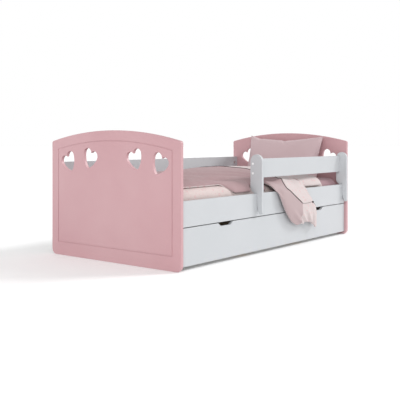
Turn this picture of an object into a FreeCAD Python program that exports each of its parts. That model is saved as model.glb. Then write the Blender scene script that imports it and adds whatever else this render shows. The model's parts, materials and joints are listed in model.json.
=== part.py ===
import FreeCAD, Part
import math
import os

import Sketcher

# Toddler bed: two arched end panels with heart cut-outs, side boards, a slatted base, a bolted-on
# guard, a full-length drawer on roller runners, and the bedding as plain closed solids.
# Millimetres. +X runs from the foot to the head, -Y is the side with the guard and the drawer,
# +Z is up. The origin is on the floor, in the middle of the whole bed's outline.

Vector = FreeCAD.Vector
doc = FreeCAD.newDocument("toddler_bed")

DIMENSIONS = [
    # end panels
    ("bed_length", 1640, "over the outer faces of both end panels"),
    ("bed_width", 870, "width of an end panel"),
    ("panel_thick", 18, "end panel"),
    ("side_height", 582, "end panel at its side edges"),
    ("crown_height", 635, "end panel at the middle of its arch"),
    ("top_corner", 12, "rounding where the arch meets the side edge"),
    ("foot_corner", 30, "rounding of the panel's lower corners"),
    ("panel_round", 2.5, "routed rounding along the panel's faces"),
    ("groove_inset", 48, "engraved frame line, in from the side edges and the arch"),
    ("groove_base", 66, "engraved frame line, up from the floor"),
    ("groove_wide", 5, "engraved frame line"),
    ("groove_deep", 2, "engraved frame line"),
    # heart cut-outs
    ("lobe_radius", 25.5, "heart lobes"),
    ("lobe_side", 23.5, "lobe centre from the heart's middle line"),
    ("lobe_up", 21, "lobe centre above the heart's centre"),
    ("heart_tip", 50, "tip below the heart's centre"),
    ("outer_heart_tilt", 29, "lean of the outer hearts, degrees"),
    ("inner_heart_tilt", 20, "lean of the inner hearts, degrees"),
    ("outer_heart_side", 306, "outer heart from the panel's middle line"),
    ("outer_heart_up", 477, "outer heart above the floor"),
    ("inner_heart_side", 153, "inner heart from the panel's middle line"),
    ("inner_heart_up", 496, "inner heart above the floor"),
    # side boards
    ("board_thick", 18, "front rail and rear panel"),
    ("board_round", 1, "edge banding radius of the white boards"),
    ("rail_inset", 16, "side boards set in from the end panels' edges"),
    ("rail_base", 195, "lower edge of the front rail and the rear panel"),
    ("rail_top", 313, "upper edge of the front rail"),
    ("rear_top", 475, "upper edge of the rear panel"),
    # connectors between side boards and end panels
    ("cam_radius", 7.5, "cam lock"),
    ("cam_deep", 12.5, "cam lock"),
    ("cam_from_end", 34, "cam centre from the end of the board"),
    ("bolt_radius", 3, "cam bolt"),
    ("bolt_in_panel", 11, "cam bolt, threaded end"),
    ("dowel_radius", 4, "wooden dowel"),
    ("dowel_in_panel", 10, "wooden dowel"),
    ("dowel_in_board", 20, "wooden dowel"),
    ("bore_play", 0.1, "radial room round bolts, dowels and screws"),
    ("front_cam_low", 222, "above the floor"),
    ("front_cam_high", 286, "above the floor"),
    ("front_dowel", 254, "above the floor"),
    ("rear_cam_low", 235, "above the floor"),
    ("rear_cam_high", 435, "above the floor"),
    ("rear_dowel_low", 300, "above the floor"),
    ("rear_dowel_high", 370, "above the floor"),
    # slatted base
    ("batten_deep", 20, "slat support, across the bed"),
    ("batten_high", 30, "slat support"),
    ("batten_short", 50, "slat support stops this far from each end panel"),
    ("slat_base", 240, "underside of the slats"),
    ("slat_thick", 15, "slat"),
    ("slat_wide", 70, "slat"),
    ("slat_round", 2, "slat edges"),
    ("slat_gap", 1, "slat end to side board"),
    ("slat_count", 13, "number of slats"),
    ("slat_run", 1392, "first to last slat, middle to middle"),
    ("strap_wide", 22, "webbing under the slats"),
    ("strap_thick", 1.5, "webbing under the slats"),
    ("strap_side", 250, "webbing from the middle of the base"),
    ("screw_radius", 2, "wood screw"),
    ("screw_head", 4, "wood screw, head radius"),
    ("screw_sink", 2, "wood screw, height of the countersunk head"),
    ("slat_screw", 30, "slat screw length"),
    ("batten_screw", 32, "batten screw length"),
    ("batten_screw_up", 217, "batten screws above the floor"),
    ("batten_screw_count", 5, "screws in each batten"),
    ("batten_screw_run", 1276, "first to last batten screw"),
    # guard
    ("post_thick", 16, "guard post along the bed"),
    ("post_proud", 14, "guard post in front of the end panels' edges"),
    ("post_deep", 72, "guard post across the bed"),
    ("post_top", 514, "top of the rounded post"),
    ("post_base", 208, "lowest point of the post's leg"),
    ("post_ankle", 52, "post's leg starts to taper this far above its lowest point"),
    ("post_curl", 9, "post's leg, rounding of its outer lower corner"),
    ("post_foot_x", 632, "foot post's outer face from the footboard's outer face"),
    ("post_head_x", 1608, "head post's outer face from the footboard's outer face"),
    ("post_round", 1.5, "rounding along the post's faces"),
    ("relief_radius", 3.5, "milled relief in the notch of the head post"),
    ("guard_base", 391, "lower edge of the guard board"),
    ("guard_high", 100, "guard board"),
    ("guard_thick", 16, "guard board"),
    ("guard_screw_low", 264, "screws from the rail into a post, above the floor"),
    ("guard_screw_high", 298, "screws from the rail into a post, above the floor"),
    ("guard_screw", 42, "screw from the rail into a post, length"),
    ("confirmat_low", 416, "screws from a post into the guard board, above the floor"),
    ("confirmat_high", 466, "screws from a post into the guard board, above the floor"),
    ("confirmat", 50, "panel screw length"),
    ("confirmat_neck", 3.5, "panel screw, plain shank radius"),
    ("confirmat_thread", 2.5, "panel screw, threaded radius"),
    ("confirmat_head", 5, "panel screw, head radius"),
    ("confirmat_sink", 3, "panel screw, head height"),
    ("cap_radius", 6, "stick-on cover cap"),
    ("cap_thick", 1, "stick-on cover cap"),
    # drawer box
    ("drawer_base", 18, "lower edge of the drawer front"),
    ("drawer_top", 191, "upper edge of the drawer front"),
    ("drawer_gap", 2, "drawer front to end panel"),
    ("drawer_thick", 16, "drawer front, sides and back"),
    ("drawer_deep", 600, "drawer sides, front to back"),
    ("box_base", 34, "lower edge of the drawer sides"),
    ("box_high", 120, "drawer sides and back"),
    ("floor_up", 10, "drawer bottom above the sides' lower edge"),
    ("floor_thick", 4, "drawer bottom"),
    ("floor_tongue", 6, "drawer bottom in its grooves"),
    ("floor_play", 0.1, "room round the drawer bottom in its grooves"),
    ("brace_wide", 60, "batten under the drawer bottom"),
    ("brace_side", 260, "batten under the drawer bottom from the middle"),
    ("notch_side", 460, "finger notch from the middle of the drawer"),
    ("notch_wide", 122, "finger notch at the top edge"),
    ("notch_floor", 78, "finger notch at its bottom"),
    ("notch_deep", 15.5, "finger notch"),
    ("drawer_cam_low", 72, "above the floor"),
    ("drawer_cam_high", 132, "above the floor"),
    ("drawer_cam_back", 24, "cam centre behind the drawer front"),
    ("back_screw_low", 90, "screws from a drawer side into the back, above the floor"),
    ("back_screw_high", 132, "screws from a drawer side into the back, above the floor"),
    # roller runners
    ("runner_gap", 12.5, "end panel to drawer side"),
    ("runner_base", 40, "underside of the fixed runner"),
    ("runner_high", 30, "fixed runner"),
    ("runner_sheet", 1.2, "sheet steel"),
    ("runner_lip", 9.2, "flanges of the fixed runner, out from the end panel"),
    ("runner_front", 6, "runners start this far behind the drawer front"),
    ("rail_flange_up", 25, "underside of the moving runner's flange above runner_base"),
    ("rail_flange_in", 3, "moving runner's flange, distance from the end panel"),
    ("rail_leg_up", 2, "lower edge of the moving runner above runner_base"),
    ("wheel_radius", 11.5, "runner wheel"),
    ("wheel_bore", 2.55, "runner wheel bore"),
    ("wheel_wide", 5.8, "runner wheel"),
    ("wheel_in", 3.2, "runner wheel's face, distance from the end panel"),
    ("wheel_play", 0.1, "wheel to the flange that it runs on"),
    ("pin_radius", 2.5, "wheel pin"),
    ("pin_long", 8.2, "wheel pin"),
    ("front_wheel_back", 24, "fixed wheel behind the drawer front"),
    ("rear_wheel_in", 12, "moving wheel, in from the end of the drawer side"),
    ("runner_screw_head", 3.5, "runner screw, head radius"),
    ("runner_screw_proud", 1.6, "runner screw, head height"),
    ("runner_screw", 12, "runner screw, length in the board"),
    ("runner_screw_up", 13, "runner screws above runner_base"),
    ("runner_screw_run", 400, "first to last runner screw"),
    ("runner_screw_start", 110, "first runner screw behind the drawer front"),
    # bedding
    ("mattress_long", 1594, "mattress"),
    ("mattress_wide", 778, "mattress"),
    ("mattress_high", 100, "mattress"),
    ("mattress_round", 60, "mattress top edges"),
    ("soft_gap", 0.4, "room between soft and hard pieces"),
    ("duvet_foot", 30, "duvet's foot edge from the footboard's outer face"),
    ("duvet_long", 1340, "duvet, along the bed"),
    ("duvet_front", 66, "duvet's front edge from the end panels' front edge"),
    ("duvet_wide", 744, "duvet, across the bed"),
    ("duvet_high", 66, "duvet"),
    ("duvet_round", 30, "duvet edges"),
    ("flap_thick", 21, "duvet corner that hangs over the rail"),
    ("flap_top", 336, "upper face of the hanging corner above the rail"),
    ("flap_back", 39.5, "hanging corner's back end, from the end panels' front edge"),
    ("flap_base", 98, "lower edge of the hanging corner"),
    ("flap_top_x", 720, "hanging corner's foot side at its top, from the footboard's outer face"),
    ("flap_base_x", 1000, "hanging corner's foot side at its lower edge"),
    ("flap_wide", 380, "hanging corner at its top"),
    ("flap_narrow", 225, "hanging corner at its lower edge"),
    ("pillow_long", 540, "pillow, across the bed"),
    ("pillow_high", 272, "pillow"),
    ("pillow_thick", 90, "pillow"),
    ("pillow_round", 44, "pillow edges"),
    ("pillow_lean", 16, "pillow's lean from upright, degrees"),
    ("pillow_y", -4, "pillow's middle across the bed"),
    ("pillow_x", 727, "pillow's middle along the bed"),
    ("pillow_z", 490, "pillow's middle above the floor"),
]

sheet = doc.addObject("Spreadsheet::Sheet", "dims")
for row, (alias, value, note) in enumerate(DIMENSIONS, start=1):
    sheet.set(f"A{row}", note)
    sheet.set(f"B{row}", str(value))
    sheet.setAlias(f"B{row}", alias)
doc.recompute()

# Lines of the bed's plan and height, as expressions of the sheet's cells.
FRONT = "((dims.post_proud - dims.bed_width) / 2)"
REAR = f"({FRONT} + dims.bed_width)"
MIDDLE = f"({FRONT} + dims.bed_width / 2)"
RAIL_OUTER = f"({FRONT} + dims.rail_inset)"
RAIL_INNER = f"({RAIL_OUTER} + dims.board_thick)"
REAR_OUTER = f"({REAR} - dims.rail_inset)"
REAR_INNER = f"({REAR_OUTER} - dims.board_thick)"
FOOT_END = "(-dims.bed_length / 2)"
INSIDE_X = "(dims.bed_length / 2 - dims.panel_thick)"
SLAT_TOP = "(dims.slat_base + dims.slat_thick)"
BOX_FRONT = f"({RAIL_OUTER} + dims.drawer_thick)"
BOX_REAR = f"({BOX_FRONT} + dims.drawer_deep)"
BOX_OUTER_X = f"({INSIDE_X} - dims.runner_gap)"
BOX_INNER_X = f"({BOX_OUTER_X} - dims.drawer_thick)"
FLOOR_BASE = "(dims.box_base + dims.floor_up)"
SIDES = {"foot": -1, "head": 1}

TURNED = {
    "+x": FreeCAD.Rotation(Vector(0, 1, 0), 90),
    "-x": FreeCAD.Rotation(Vector(0, 1, 0), -90),
    "+y": FreeCAD.Rotation(Vector(1, 0, 0), -90),
    "-y": FreeCAD.Rotation(Vector(1, 0, 0), 90),
    "+z": FreeCAD.Rotation(),
    "-z": FreeCAD.Rotation(Vector(1, 0, 0), 180),
}

nodes = []


def size(alias):
    """The number in the sheet's cell of that name."""
    return float(sheet.get(alias))


def keep(piece, label):
    """Name a finished sub-part; its label is its file's name."""
    piece.Label = label
    nodes.append(piece)
    return piece


def bind(piece, **sizes):
    for prop, expression in sizes.items():
        piece.setExpression(prop, expression)
    return piece


def place(piece, x, y, z, turn="+z"):
    """Put a piece at an expression-bound point, with its own +Z turned to a direction."""
    piece.Placement = FreeCAD.Placement(Vector(), TURNED[turn])
    piece.setExpression("Placement.Base.x", x)
    piece.setExpression("Placement.Base.y", y)
    piece.setExpression("Placement.Base.z", z)
    return piece


def box(name, along, across, up, x, y, z):
    """A board: its three sizes, then its lowest corner."""
    board = doc.addObject("Part::Box", name)
    bind(board, Length=along, Width=across, Height=up)
    return place(board, x, y, z)


def cylinder(name, radius, length, x, y, z, turn="+z"):
    rod = doc.addObject("Part::Cylinder", name)
    bind(rod, Radius=radius, Height=length)
    return place(rod, x, y, z, turn)


def fuse(name, pieces):
    joined = doc.addObject("Part::MultiFuse", name)
    joined.Shapes = pieces
    return joined


def bundle(name, pieces):
    group = doc.addObject("Part::Compound", name)
    group.Links = pieces
    return group


def cut(name, base, tools):
    """The base with every tool taken away."""
    result = doc.addObject("Part::Cut", name)
    result.Base = base
    result.Tool = tools[0] if len(tools) == 1 else bundle(name + "_tools", tools)
    return result


def rounded(name, base, radius, wanted=None):
    """Round the base's edges, or only those that the test picks out."""
    doc.recompute()
    result = doc.addObject("Part::Fillet", name)
    result.Base = base
    edges = enumerate(base.Shape.Edges, start=1)
    result.Edges = [(i, radius, radius) for i, edge in edges if wanted is None or wanted(edge)]
    return result


def copies(source, spots):
    """Linked copies of one fastener; each spot is x, y, z and the way its +Z points."""
    links = []
    for number, (x, y, z, turn) in enumerate(spots, start=1):
        link = doc.addObject("App::Link", f"{source.Name}_{number}")
        link.LinkedObject = source
        links.append(place(link, x, y, z, turn))
    return links


def group_of(label, source, spots):
    """One node of identical loose solids."""
    return keep(bundle(label, copies(source, spots)), label)


def sign_x(side, expression):
    """The same distance towards the footboard or towards the headboard."""
    return f"({SIDES[side]} * ({expression}))"


def steps(first, run, count):
    """Evenly spaced offsets as expressions, centred on first when the run is symmetric."""
    total = int(size(count))
    return [f"({first} + dims.{run} * {i} / {total - 1})" for i in range(total)]


# Sketch work for the profiled boards

def plane_of(body, role):
    return next(item for item in body.Origin.OriginFeatures if item.Role == role)


def new_sketch(body, name, role="YZ_Plane", offset="0"):
    sketch = body.newObject("Sketcher::SketchObject", name)
    sketch.AttachmentSupport = [(plane_of(body, role), "")]
    sketch.MapMode = "FlatFace"
    sketch.setExpression("AttachmentOffset.Base.z", offset)
    return sketch


def chain(sketch, curves):
    """Add curves nose to tail as one closed outline."""
    first = sketch.GeometryCount
    for curve in curves:
        sketch.addGeometry(curve, False)
    count = len(curves)
    for i, curve in enumerate(curves):
        following = first + (i + 1) % count
        join(sketch, first + i, following)
    return first


def join(sketch, one, other):
    """Tie the two ends of neighbouring curves that lie on one point."""
    gaps = []
    for a in (1, 2):
        for b in (1, 2):
            gap = sketch.getPoint(one, a).distanceToPoint(sketch.getPoint(other, b))
            gaps.append((gap, a, b))
    gap, a, b = min(gaps)
    sketch.addConstraint(Sketcher.Constraint("Coincident", one, a, other, b))


def line(start, end):
    return Part.LineSegment(Vector(*start, 0), Vector(*end, 0))


def arc(start, through, end):
    return Part.Arc(Vector(*start, 0), Vector(*through, 0), Vector(*end, 0))


def corner_loop(sketch, points):
    count = len(points)
    return chain(sketch, [line(points[i], points[(i + 1) % count]) for i in range(count)])


def pad(body, name, sketch, length):
    feature = body.newObject("PartDesign::Pad", name)
    feature.Profile = sketch
    bind(feature, Length=length)
    return feature


def pocket(body, name, sketch, depth=None, reverse=False):
    """Cut a sketch out of the body; it has to take material away."""
    doc.recompute()
    before = body.Shape.Volume
    feature = body.newObject("PartDesign::Pocket", name)
    feature.Profile = sketch
    feature.Reversed = reverse
    if depth is None:
        feature.Type = "ThroughAll"
        feature.Midplane = True
    else:
        bind(feature, Length=depth)
    doc.recompute()
    if body.Shape.Volume > before - 1:
        raise RuntimeError(f"{name} cuts nothing")
    return feature


def fillet(body, name, radius, wanted):
    doc.recompute()
    base = body.Tip
    edges = enumerate(base.Shape.Edges, start=1)
    feature = body.newObject("PartDesign::Fillet", name)
    feature.Base = (base, [f"Edge{i}" for i, edge in edges if wanted(edge)])
    bind(feature, Radius=radius)
    body.Tip = feature
    return feature


def runs_along_x(edge):
    box_of = edge.BoundBox
    return box_of.YLength < 0.01 and box_of.ZLength < 0.01


def lies_across_x(edge):
    return edge.BoundBox.XLength < 0.01


# End panels

def arch_radius(inset):
    """Radius of the panel's arch, moved in towards its own centre by the inset."""
    half = size("bed_width") / 2
    rise = size("crown_height") - size("side_height")
    return (half ** 2 + rise ** 2) / (2 * rise) - inset


def arch_point(y, inset):
    centre = size("crown_height") - arch_radius(0)
    return (y, centre + math.sqrt(arch_radius(inset) ** 2 - y ** 2))


def panel_loop(sketch, inset, base):
    """Flat bottom, two upright sides and the arch, all moved in by the inset."""
    half = size("bed_width") / 2 - inset
    left = arch_point(-half, inset)
    right = arch_point(half, inset)
    return chain(sketch, [
        line((-half, base), (half, base)),
        line((half, base), right),
        arc(right, arch_point(0, inset), left),
        line(left, (-half, base)),
    ])


def size_panel_loop(sketch, first):
    """Bind the outline to the sheet: width, side height and the arch's radius."""
    rise = "(dims.crown_height - dims.side_height)"
    rules = [
        (Sketcher.Constraint("Horizontal", first), None),
        (Sketcher.Constraint("Vertical", first + 1), None),
        (Sketcher.Constraint("Vertical", first + 3), None),
        (Sketcher.Constraint("Symmetric", first, 1, first, 2, -1, 1), None),
        (Sketcher.Constraint("DistanceX", first, 1, first, 2, size("bed_width")), "dims.bed_width"),
        (Sketcher.Constraint("DistanceY", first + 1, 1, first + 1, 2, size("side_height")),
         "dims.side_height"),
        (Sketcher.Constraint("Equal", first + 1, first + 3), None),
        (Sketcher.Constraint("Radius", first + 2, arch_radius(0)),
         f"(dims.bed_width ^ 2 / 4 + {rise} ^ 2) / (2 * {rise})"),
    ]
    for rule, expression in rules:
        index = sketch.addConstraint(rule)
        if expression:
            sketch.setExpression(f"Constraints[{index}]", expression)


def heart_loop(sketch, y, z, tilt):
    """Two round lobes, each running smoothly into a wide arc down to the tip."""
    r = size("lobe_radius")
    side = size("lobe_side")
    up = size("lobe_up")
    tip = (0, -size("heart_tip"))
    notch = (0, up + math.sqrt(r ** 2 - side ** 2))
    shoulder_angle = math.radians(-10)
    normal = (math.cos(shoulder_angle), math.sin(shoulder_angle))
    shoulder = (side + r * normal[0], up + r * normal[1])
    reach = (shoulder[0] - tip[0], shoulder[1] - tip[1])
    wide = (reach[0] ** 2 + reach[1] ** 2) / (2 * (reach[0] * normal[0] + reach[1] * normal[1]))
    centre = (shoulder[0] - wide * normal[0], shoulder[1] - wide * normal[1])
    middle = ((shoulder[0] + tip[0]) / 2 - centre[0], (shoulder[1] + tip[1]) / 2 - centre[1])
    scale = wide / math.hypot(*middle)
    flank = (centre[0] + middle[0] * scale, centre[1] + middle[1] * scale)
    crest_angle = math.radians(60)
    crest = (side + r * math.cos(crest_angle), up + r * math.sin(crest_angle))

    turn = math.radians(tilt)

    def spot(point, mirror=1):
        u = point[0] * mirror
        v = point[1]
        return (y + u * math.cos(turn) - v * math.sin(turn), z + u * math.sin(turn) + v * math.cos(turn))

    return chain(sketch, [
        arc(spot(tip), spot(flank), spot(shoulder)),
        arc(spot(shoulder), spot(crest), spot(notch)),
        arc(spot(notch), spot(crest, -1), spot(shoulder, -1)),
        arc(spot(shoulder, -1), spot(flank, -1), spot(tip)),
    ])


def end_panel(side):
    """One end panel, outer face at its own x = 0; the head one is the same panel turned round."""
    body = doc.addObject("PartDesign::Body", f"{side}board_panel")
    outline = new_sketch(body, f"{side}board_outline")
    size_panel_loop(outline, panel_loop(outline, 0, 0))
    pad(body, f"{side}board_pad", outline, "dims.panel_thick")

    hearts = new_sketch(body, f"{side}board_hearts")
    for mirror in (-1, 1):
        heart_loop(hearts, mirror * size("outer_heart_side"), size("outer_heart_up"),
                   -mirror * size("outer_heart_tilt"))
        heart_loop(hearts, mirror * size("inner_heart_side"), size("inner_heart_up"),
                   mirror * size("inner_heart_tilt"))
    pocket(body, f"{side}board_heart_cuts", hearts)

    fillet(body, f"{side}board_feet", "dims.foot_corner",
           lambda edge: runs_along_x(edge) and edge.BoundBox.ZMax < 1)
    fillet(body, f"{side}board_shoulders", "dims.top_corner",
           lambda edge: runs_along_x(edge) and edge.BoundBox.ZMin > size("side_height") - 1
           and abs(edge.BoundBox.YMin) > size("bed_width") / 2 - 1)
    fillet(body, f"{side}board_rounding", "dims.panel_round", lies_across_x)

    groove = new_sketch(body, f"{side}board_groove")
    panel_loop(groove, size("groove_inset"), size("groove_base"))
    wide = size("groove_wide")
    panel_loop(groove, size("groove_inset") + wide, size("groove_base") + wide)
    pocket(body, f"{side}board_groove_cut", groove, "dims.groove_deep", reverse=True)

    body.Placement = FreeCAD.Placement(Vector(), FreeCAD.Rotation(Vector(0, 0, 1), 0 if side == "foot" else 180))
    body.setExpression("Placement.Base.x", sign_x(side, "dims.bed_length / 2"))
    body.setExpression("Placement.Base.y", MIDDLE)
    return body


# Connectors: cam bolts, cam locks and dowels between a side board and an end panel

RAIL_MID = f"({RAIL_OUTER} + dims.board_thick / 2)"
REAR_MID = f"({REAR_OUTER} - dims.board_thick / 2)"
CAM_HEIGHTS = {
    "front": ("dims.front_cam_low", "dims.front_cam_high"),
    "rear": ("dims.rear_cam_low", "dims.rear_cam_high"),
}
DOWEL_HEIGHTS = {
    "front": ("dims.front_dowel",),
    "rear": ("dims.rear_dowel_low", "dims.rear_dowel_high"),
}
BOARD_MID = {"front": RAIL_MID, "rear": REAR_MID}
OUTWARD = {"foot": "-x", "head": "+x"}
INWARD = {"foot": "+x", "head": "-x"}


def panel_holes(side):
    """Blind holes in an end panel's inner face."""
    holes = []
    for board in ("front", "rear"):
        for height in CAM_HEIGHTS[board]:
            holes.append(cylinder(f"{side}_{board}_bolt_hole", "dims.bolt_radius + dims.bore_play",
                                  "dims.bolt_in_panel + dims.bore_play",
                                  sign_x(side, INSIDE_X), BOARD_MID[board], height, OUTWARD[side]))
        for height in DOWEL_HEIGHTS[board]:
            holes.append(cylinder(f"{side}_{board}_dowel_hole", "dims.dowel_radius + dims.bore_play",
                                  "dims.dowel_in_panel + dims.bore_play",
                                  sign_x(side, INSIDE_X), BOARD_MID[board], height, OUTWARD[side]))
    for y in runner_screw_rows():
        holes.append(cylinder(f"{side}_runner_hole", "dims.screw_radius + dims.bore_play",
                              "dims.runner_screw", sign_x(side, INSIDE_X), y,
                              "dims.runner_base + dims.runner_screw_up", OUTWARD[side]))
    return holes


def board_holes(board):
    """Bolt bores, cam seats and dowel holes at both ends of a side board."""
    seat_y = RAIL_INNER if board == "front" else REAR_INNER
    seat_turn = "-y" if board == "front" else "+y"
    holes = []
    for side in SIDES:
        cam_x = sign_x(side, f"{INSIDE_X} - dims.cam_from_end")
        for height in CAM_HEIGHTS[board]:
            holes.append(cylinder(f"{side}_{board}_bolt_bore", "dims.bolt_radius + dims.bore_play",
                                  "dims.cam_from_end", sign_x(side, INSIDE_X), BOARD_MID[board],
                                  height, INWARD[side]))
            holes.append(cylinder(f"{side}_{board}_cam_seat", "dims.cam_radius + dims.bore_play",
                                  "dims.cam_deep + dims.bore_play", cam_x, seat_y, height, seat_turn))
        for height in DOWEL_HEIGHTS[board]:
            holes.append(cylinder(f"{side}_{board}_dowel_bore", "dims.dowel_radius + dims.bore_play",
                                  "dims.dowel_in_board + dims.bore_play", sign_x(side, INSIDE_X),
                                  BOARD_MID[board], height, INWARD[side]))
    return holes


def cam_lock_source(name, board, across):
    """A cam lock, its open face at its own z = 0, with the bolt's bore halfway through the board
    and a cross recess. The bore runs along the lock's own X or Y, both ways."""
    disc = cylinder(f"{name}_disc", "dims.cam_radius", "dims.cam_deep", "0", "0", "0")
    bore = cylinder(f"{name}_bore", "dims.bolt_radius + dims.bore_play", "dims.cam_radius * 2",
                    "0", "0", f"{board} / 2", f"+{across}")
    twin = cylinder(f"{name}_twin", "dims.bolt_radius + dims.bore_play", "dims.cam_radius * 2",
                    "0", "0", f"{board} / 2", f"-{across}")
    slot = box(f"{name}_slot", "dims.cam_radius", "1.6", "2", "-dims.cam_radius / 2", "-0.8", "0")
    cross = box(f"{name}_cross", "1.6", "dims.cam_radius", "2", "-0.8", "-dims.cam_radius / 2", "0")
    return cut(name, disc, [bore, twin, slot, cross])


def cam_bolt_source(name, shank):
    """A cam bolt lying along its own +Z: threaded end below z = 0, collar, neck and head above."""
    thread = cylinder(f"{name}_thread", "dims.bolt_radius", "dims.bolt_in_panel", "0", "0",
                      "-dims.bolt_in_panel")
    neck = cylinder(f"{name}_neck", "dims.bolt_radius * 0.7", shank, "0", "0", "0")
    head = cylinder(f"{name}_head", "dims.bolt_radius", "3", "0", "0", f"{shank} - 3")
    return fuse(name, [thread, neck, head])


def sunk_screw_source(name, radius, length, head, sink):
    """A countersunk screw pointing along its own +Z, its head flush with z = 0."""
    shank = cylinder(f"{name}_shank", radius, length, "0", "0", "0")
    cone = doc.addObject("Part::Cone", f"{name}_cone")
    bind(cone, Radius1=head, Radius2=radius, Height=sink)
    return fuse(name, [shank, cone])


def connectors():
    lock = cam_lock_source("cam_lock", "dims.board_thick", "x")
    bolt = cam_bolt_source("cam_bolt", "dims.cam_from_end")
    dowel = cylinder("dowel", "dims.dowel_radius", "dims.dowel_in_panel + dims.dowel_in_board",
                     "0", "0", "0")
    locks = []
    bolts = []
    dowels = []
    for board in ("front", "rear"):
        seat_y = RAIL_INNER if board == "front" else REAR_INNER
        seat_turn = "-y" if board == "front" else "+y"
        for side in SIDES:
            for height in CAM_HEIGHTS[board]:
                cam_x = sign_x(side, f"{INSIDE_X} - dims.cam_from_end")
                locks.append((cam_x, seat_y, height, seat_turn))
                bolts.append((sign_x(side, INSIDE_X), BOARD_MID[board], height, INWARD[side]))
            for height in DOWEL_HEIGHTS[board]:
                start = sign_x(side, f"{INSIDE_X} + dims.dowel_in_panel")
                dowels.append((start, BOARD_MID[board], height, INWARD[side]))
    group_of("cam_locks", lock, locks)
    group_of("cam_bolts", bolt, bolts)
    group_of("dowels", dowel, dowels)


# Side boards

def side_boards():
    long_size = f"2 * {INSIDE_X}"
    start = f"-{INSIDE_X}"
    rail = box("front_rail_board", long_size, "dims.board_thick", "dims.rail_top - dims.rail_base",
               start, RAIL_OUTER, "dims.rail_base")
    rail_edges = rounded("front_rail_edges", rail, size("board_round"))
    holes = board_holes("front") + guard_rail_holes() + batten_board_holes("front")
    keep(cut("front_rail", rail_edges, holes), "front_rail")

    panel = box("rear_panel_board", long_size, "dims.board_thick", "dims.rear_top - dims.rail_base",
                start, REAR_INNER, "dims.rail_base")
    panel_edges = rounded("rear_panel_edges", panel, size("board_round"))
    holes = board_holes("rear") + batten_board_holes("rear")
    keep(cut("rear_panel", panel_edges, holes), "rear_panel")


# Slatted base

BATTEN_FRONT = {"front": RAIL_INNER, "rear": f"({REAR_INNER} - dims.batten_deep)"}
SLAT_SCREW_ROWS = {board: f"({edge} + dims.batten_deep / 2)" for board, edge in BATTEN_FRONT.items()}


def slat_spots():
    return steps("-dims.slat_run / 2", "slat_run", "slat_count")


def batten_screw_spots():
    return steps("-dims.batten_screw_run / 2", "batten_screw_run", "batten_screw_count")


def batten_screw_start(board):
    """Where the batten's screws start, and the way they point: into the side board."""
    if board == "front":
        return f"({RAIL_INNER} + dims.batten_deep)", "-y"
    return f"({REAR_INNER} - dims.batten_deep)", "+y"


def batten_board_holes(board):
    start, turn = batten_screw_start(board)
    depth = "dims.batten_screw + dims.bore_play"
    return [cylinder(f"{board}_batten_pilot", "dims.screw_radius + dims.bore_play", depth,
                     x, start, "dims.batten_screw_up", turn) for x in batten_screw_spots()]


def sunk_hole(name, length, x, y, z, turn):
    """The hole for a countersunk wood screw."""
    bore = cylinder(f"{name}_bore", "dims.screw_radius + dims.bore_play", length, x, y, z, turn)
    cone = doc.addObject("Part::Cone", f"{name}_sink")
    bind(cone, Radius1="dims.screw_head + dims.bore_play",
         Radius2="dims.screw_radius + dims.bore_play", Height="dims.screw_sink")
    place(cone, x, y, z, turn)
    return [bore, cone]


def battens():
    for board, y in BATTEN_FRONT.items():
        half = f"({INSIDE_X} - dims.batten_short)"
        strip = box(f"batten_{board}_strip", f"2 * {half}", "dims.batten_deep", "dims.batten_high",
                    f"-{half}", y, "dims.slat_base - dims.batten_high")
        tools = []
        for x in slat_spots():
            tools.append(cylinder(f"{board}_slat_pilot", "dims.screw_radius + dims.bore_play",
                                  "dims.slat_screw - dims.slat_thick + dims.bore_play",
                                  x, SLAT_SCREW_ROWS[board], "dims.slat_base", "-z"))
        start, turn = batten_screw_start(board)
        for x in batten_screw_spots():
            tools += sunk_hole(f"{board}_batten_hole", "dims.batten_screw", x, start,
                               "dims.batten_screw_up", turn)
        keep(cut(f"batten_{board}", strip, tools), f"batten_{board}")


def slats():
    for number, x in enumerate(slat_spots(), start=1):
        name = f"slat_{number:02d}"
        strip = box(f"{name}_strip", "dims.slat_wide", f"{REAR_INNER} - {RAIL_INNER} - 2 * dims.slat_gap",
                    "dims.slat_thick", f"{x} - dims.slat_wide / 2", f"{RAIL_INNER} + dims.slat_gap",
                    "dims.slat_base")
        edges = rounded(f"{name}_edges", strip, size("slat_round"),
                        lambda edge: edge.BoundBox.YLength > 100)
        tools = []
        for y in SLAT_SCREW_ROWS.values():
            tools += sunk_hole(f"{name}_hole", "dims.slat_thick", x, y, SLAT_TOP, "-z")
        keep(cut(name, edges, tools), name)


def slat_straps():
    for board, sign in (("front", -1), ("rear", 1)):
        middle = f"(({RAIL_INNER} + {REAR_INNER}) / 2 + {sign} * dims.strap_side)"
        keep(box(f"slat_strap_{board}", "dims.slat_run + dims.slat_wide", "dims.strap_wide",
                 "dims.strap_thick", "-(dims.slat_run + dims.slat_wide) / 2",
                 f"{middle} - dims.strap_wide / 2", "dims.slat_base - dims.strap_thick"),
             f"slat_strap_{board}")


def base_screws():
    slat_screw = sunk_screw_source("slat_screw", "dims.screw_radius", "dims.slat_screw",
                                   "dims.screw_head", "dims.screw_sink")
    spots = [(x, y, SLAT_TOP, "-z") for y in SLAT_SCREW_ROWS.values() for x in slat_spots()]
    group_of("slat_screws", slat_screw, spots)
    batten_screw = sunk_screw_source("batten_screw", "dims.screw_radius", "dims.batten_screw",
                                     "dims.screw_head", "dims.screw_sink")
    spots = []
    for board in BATTEN_FRONT:
        start, turn = batten_screw_start(board)
        spots += [(x, start, "dims.batten_screw_up", turn) for x in batten_screw_spots()]
    group_of("batten_screws", batten_screw, spots)


# Guard: two posts notched over the front rail and one board between them

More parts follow.
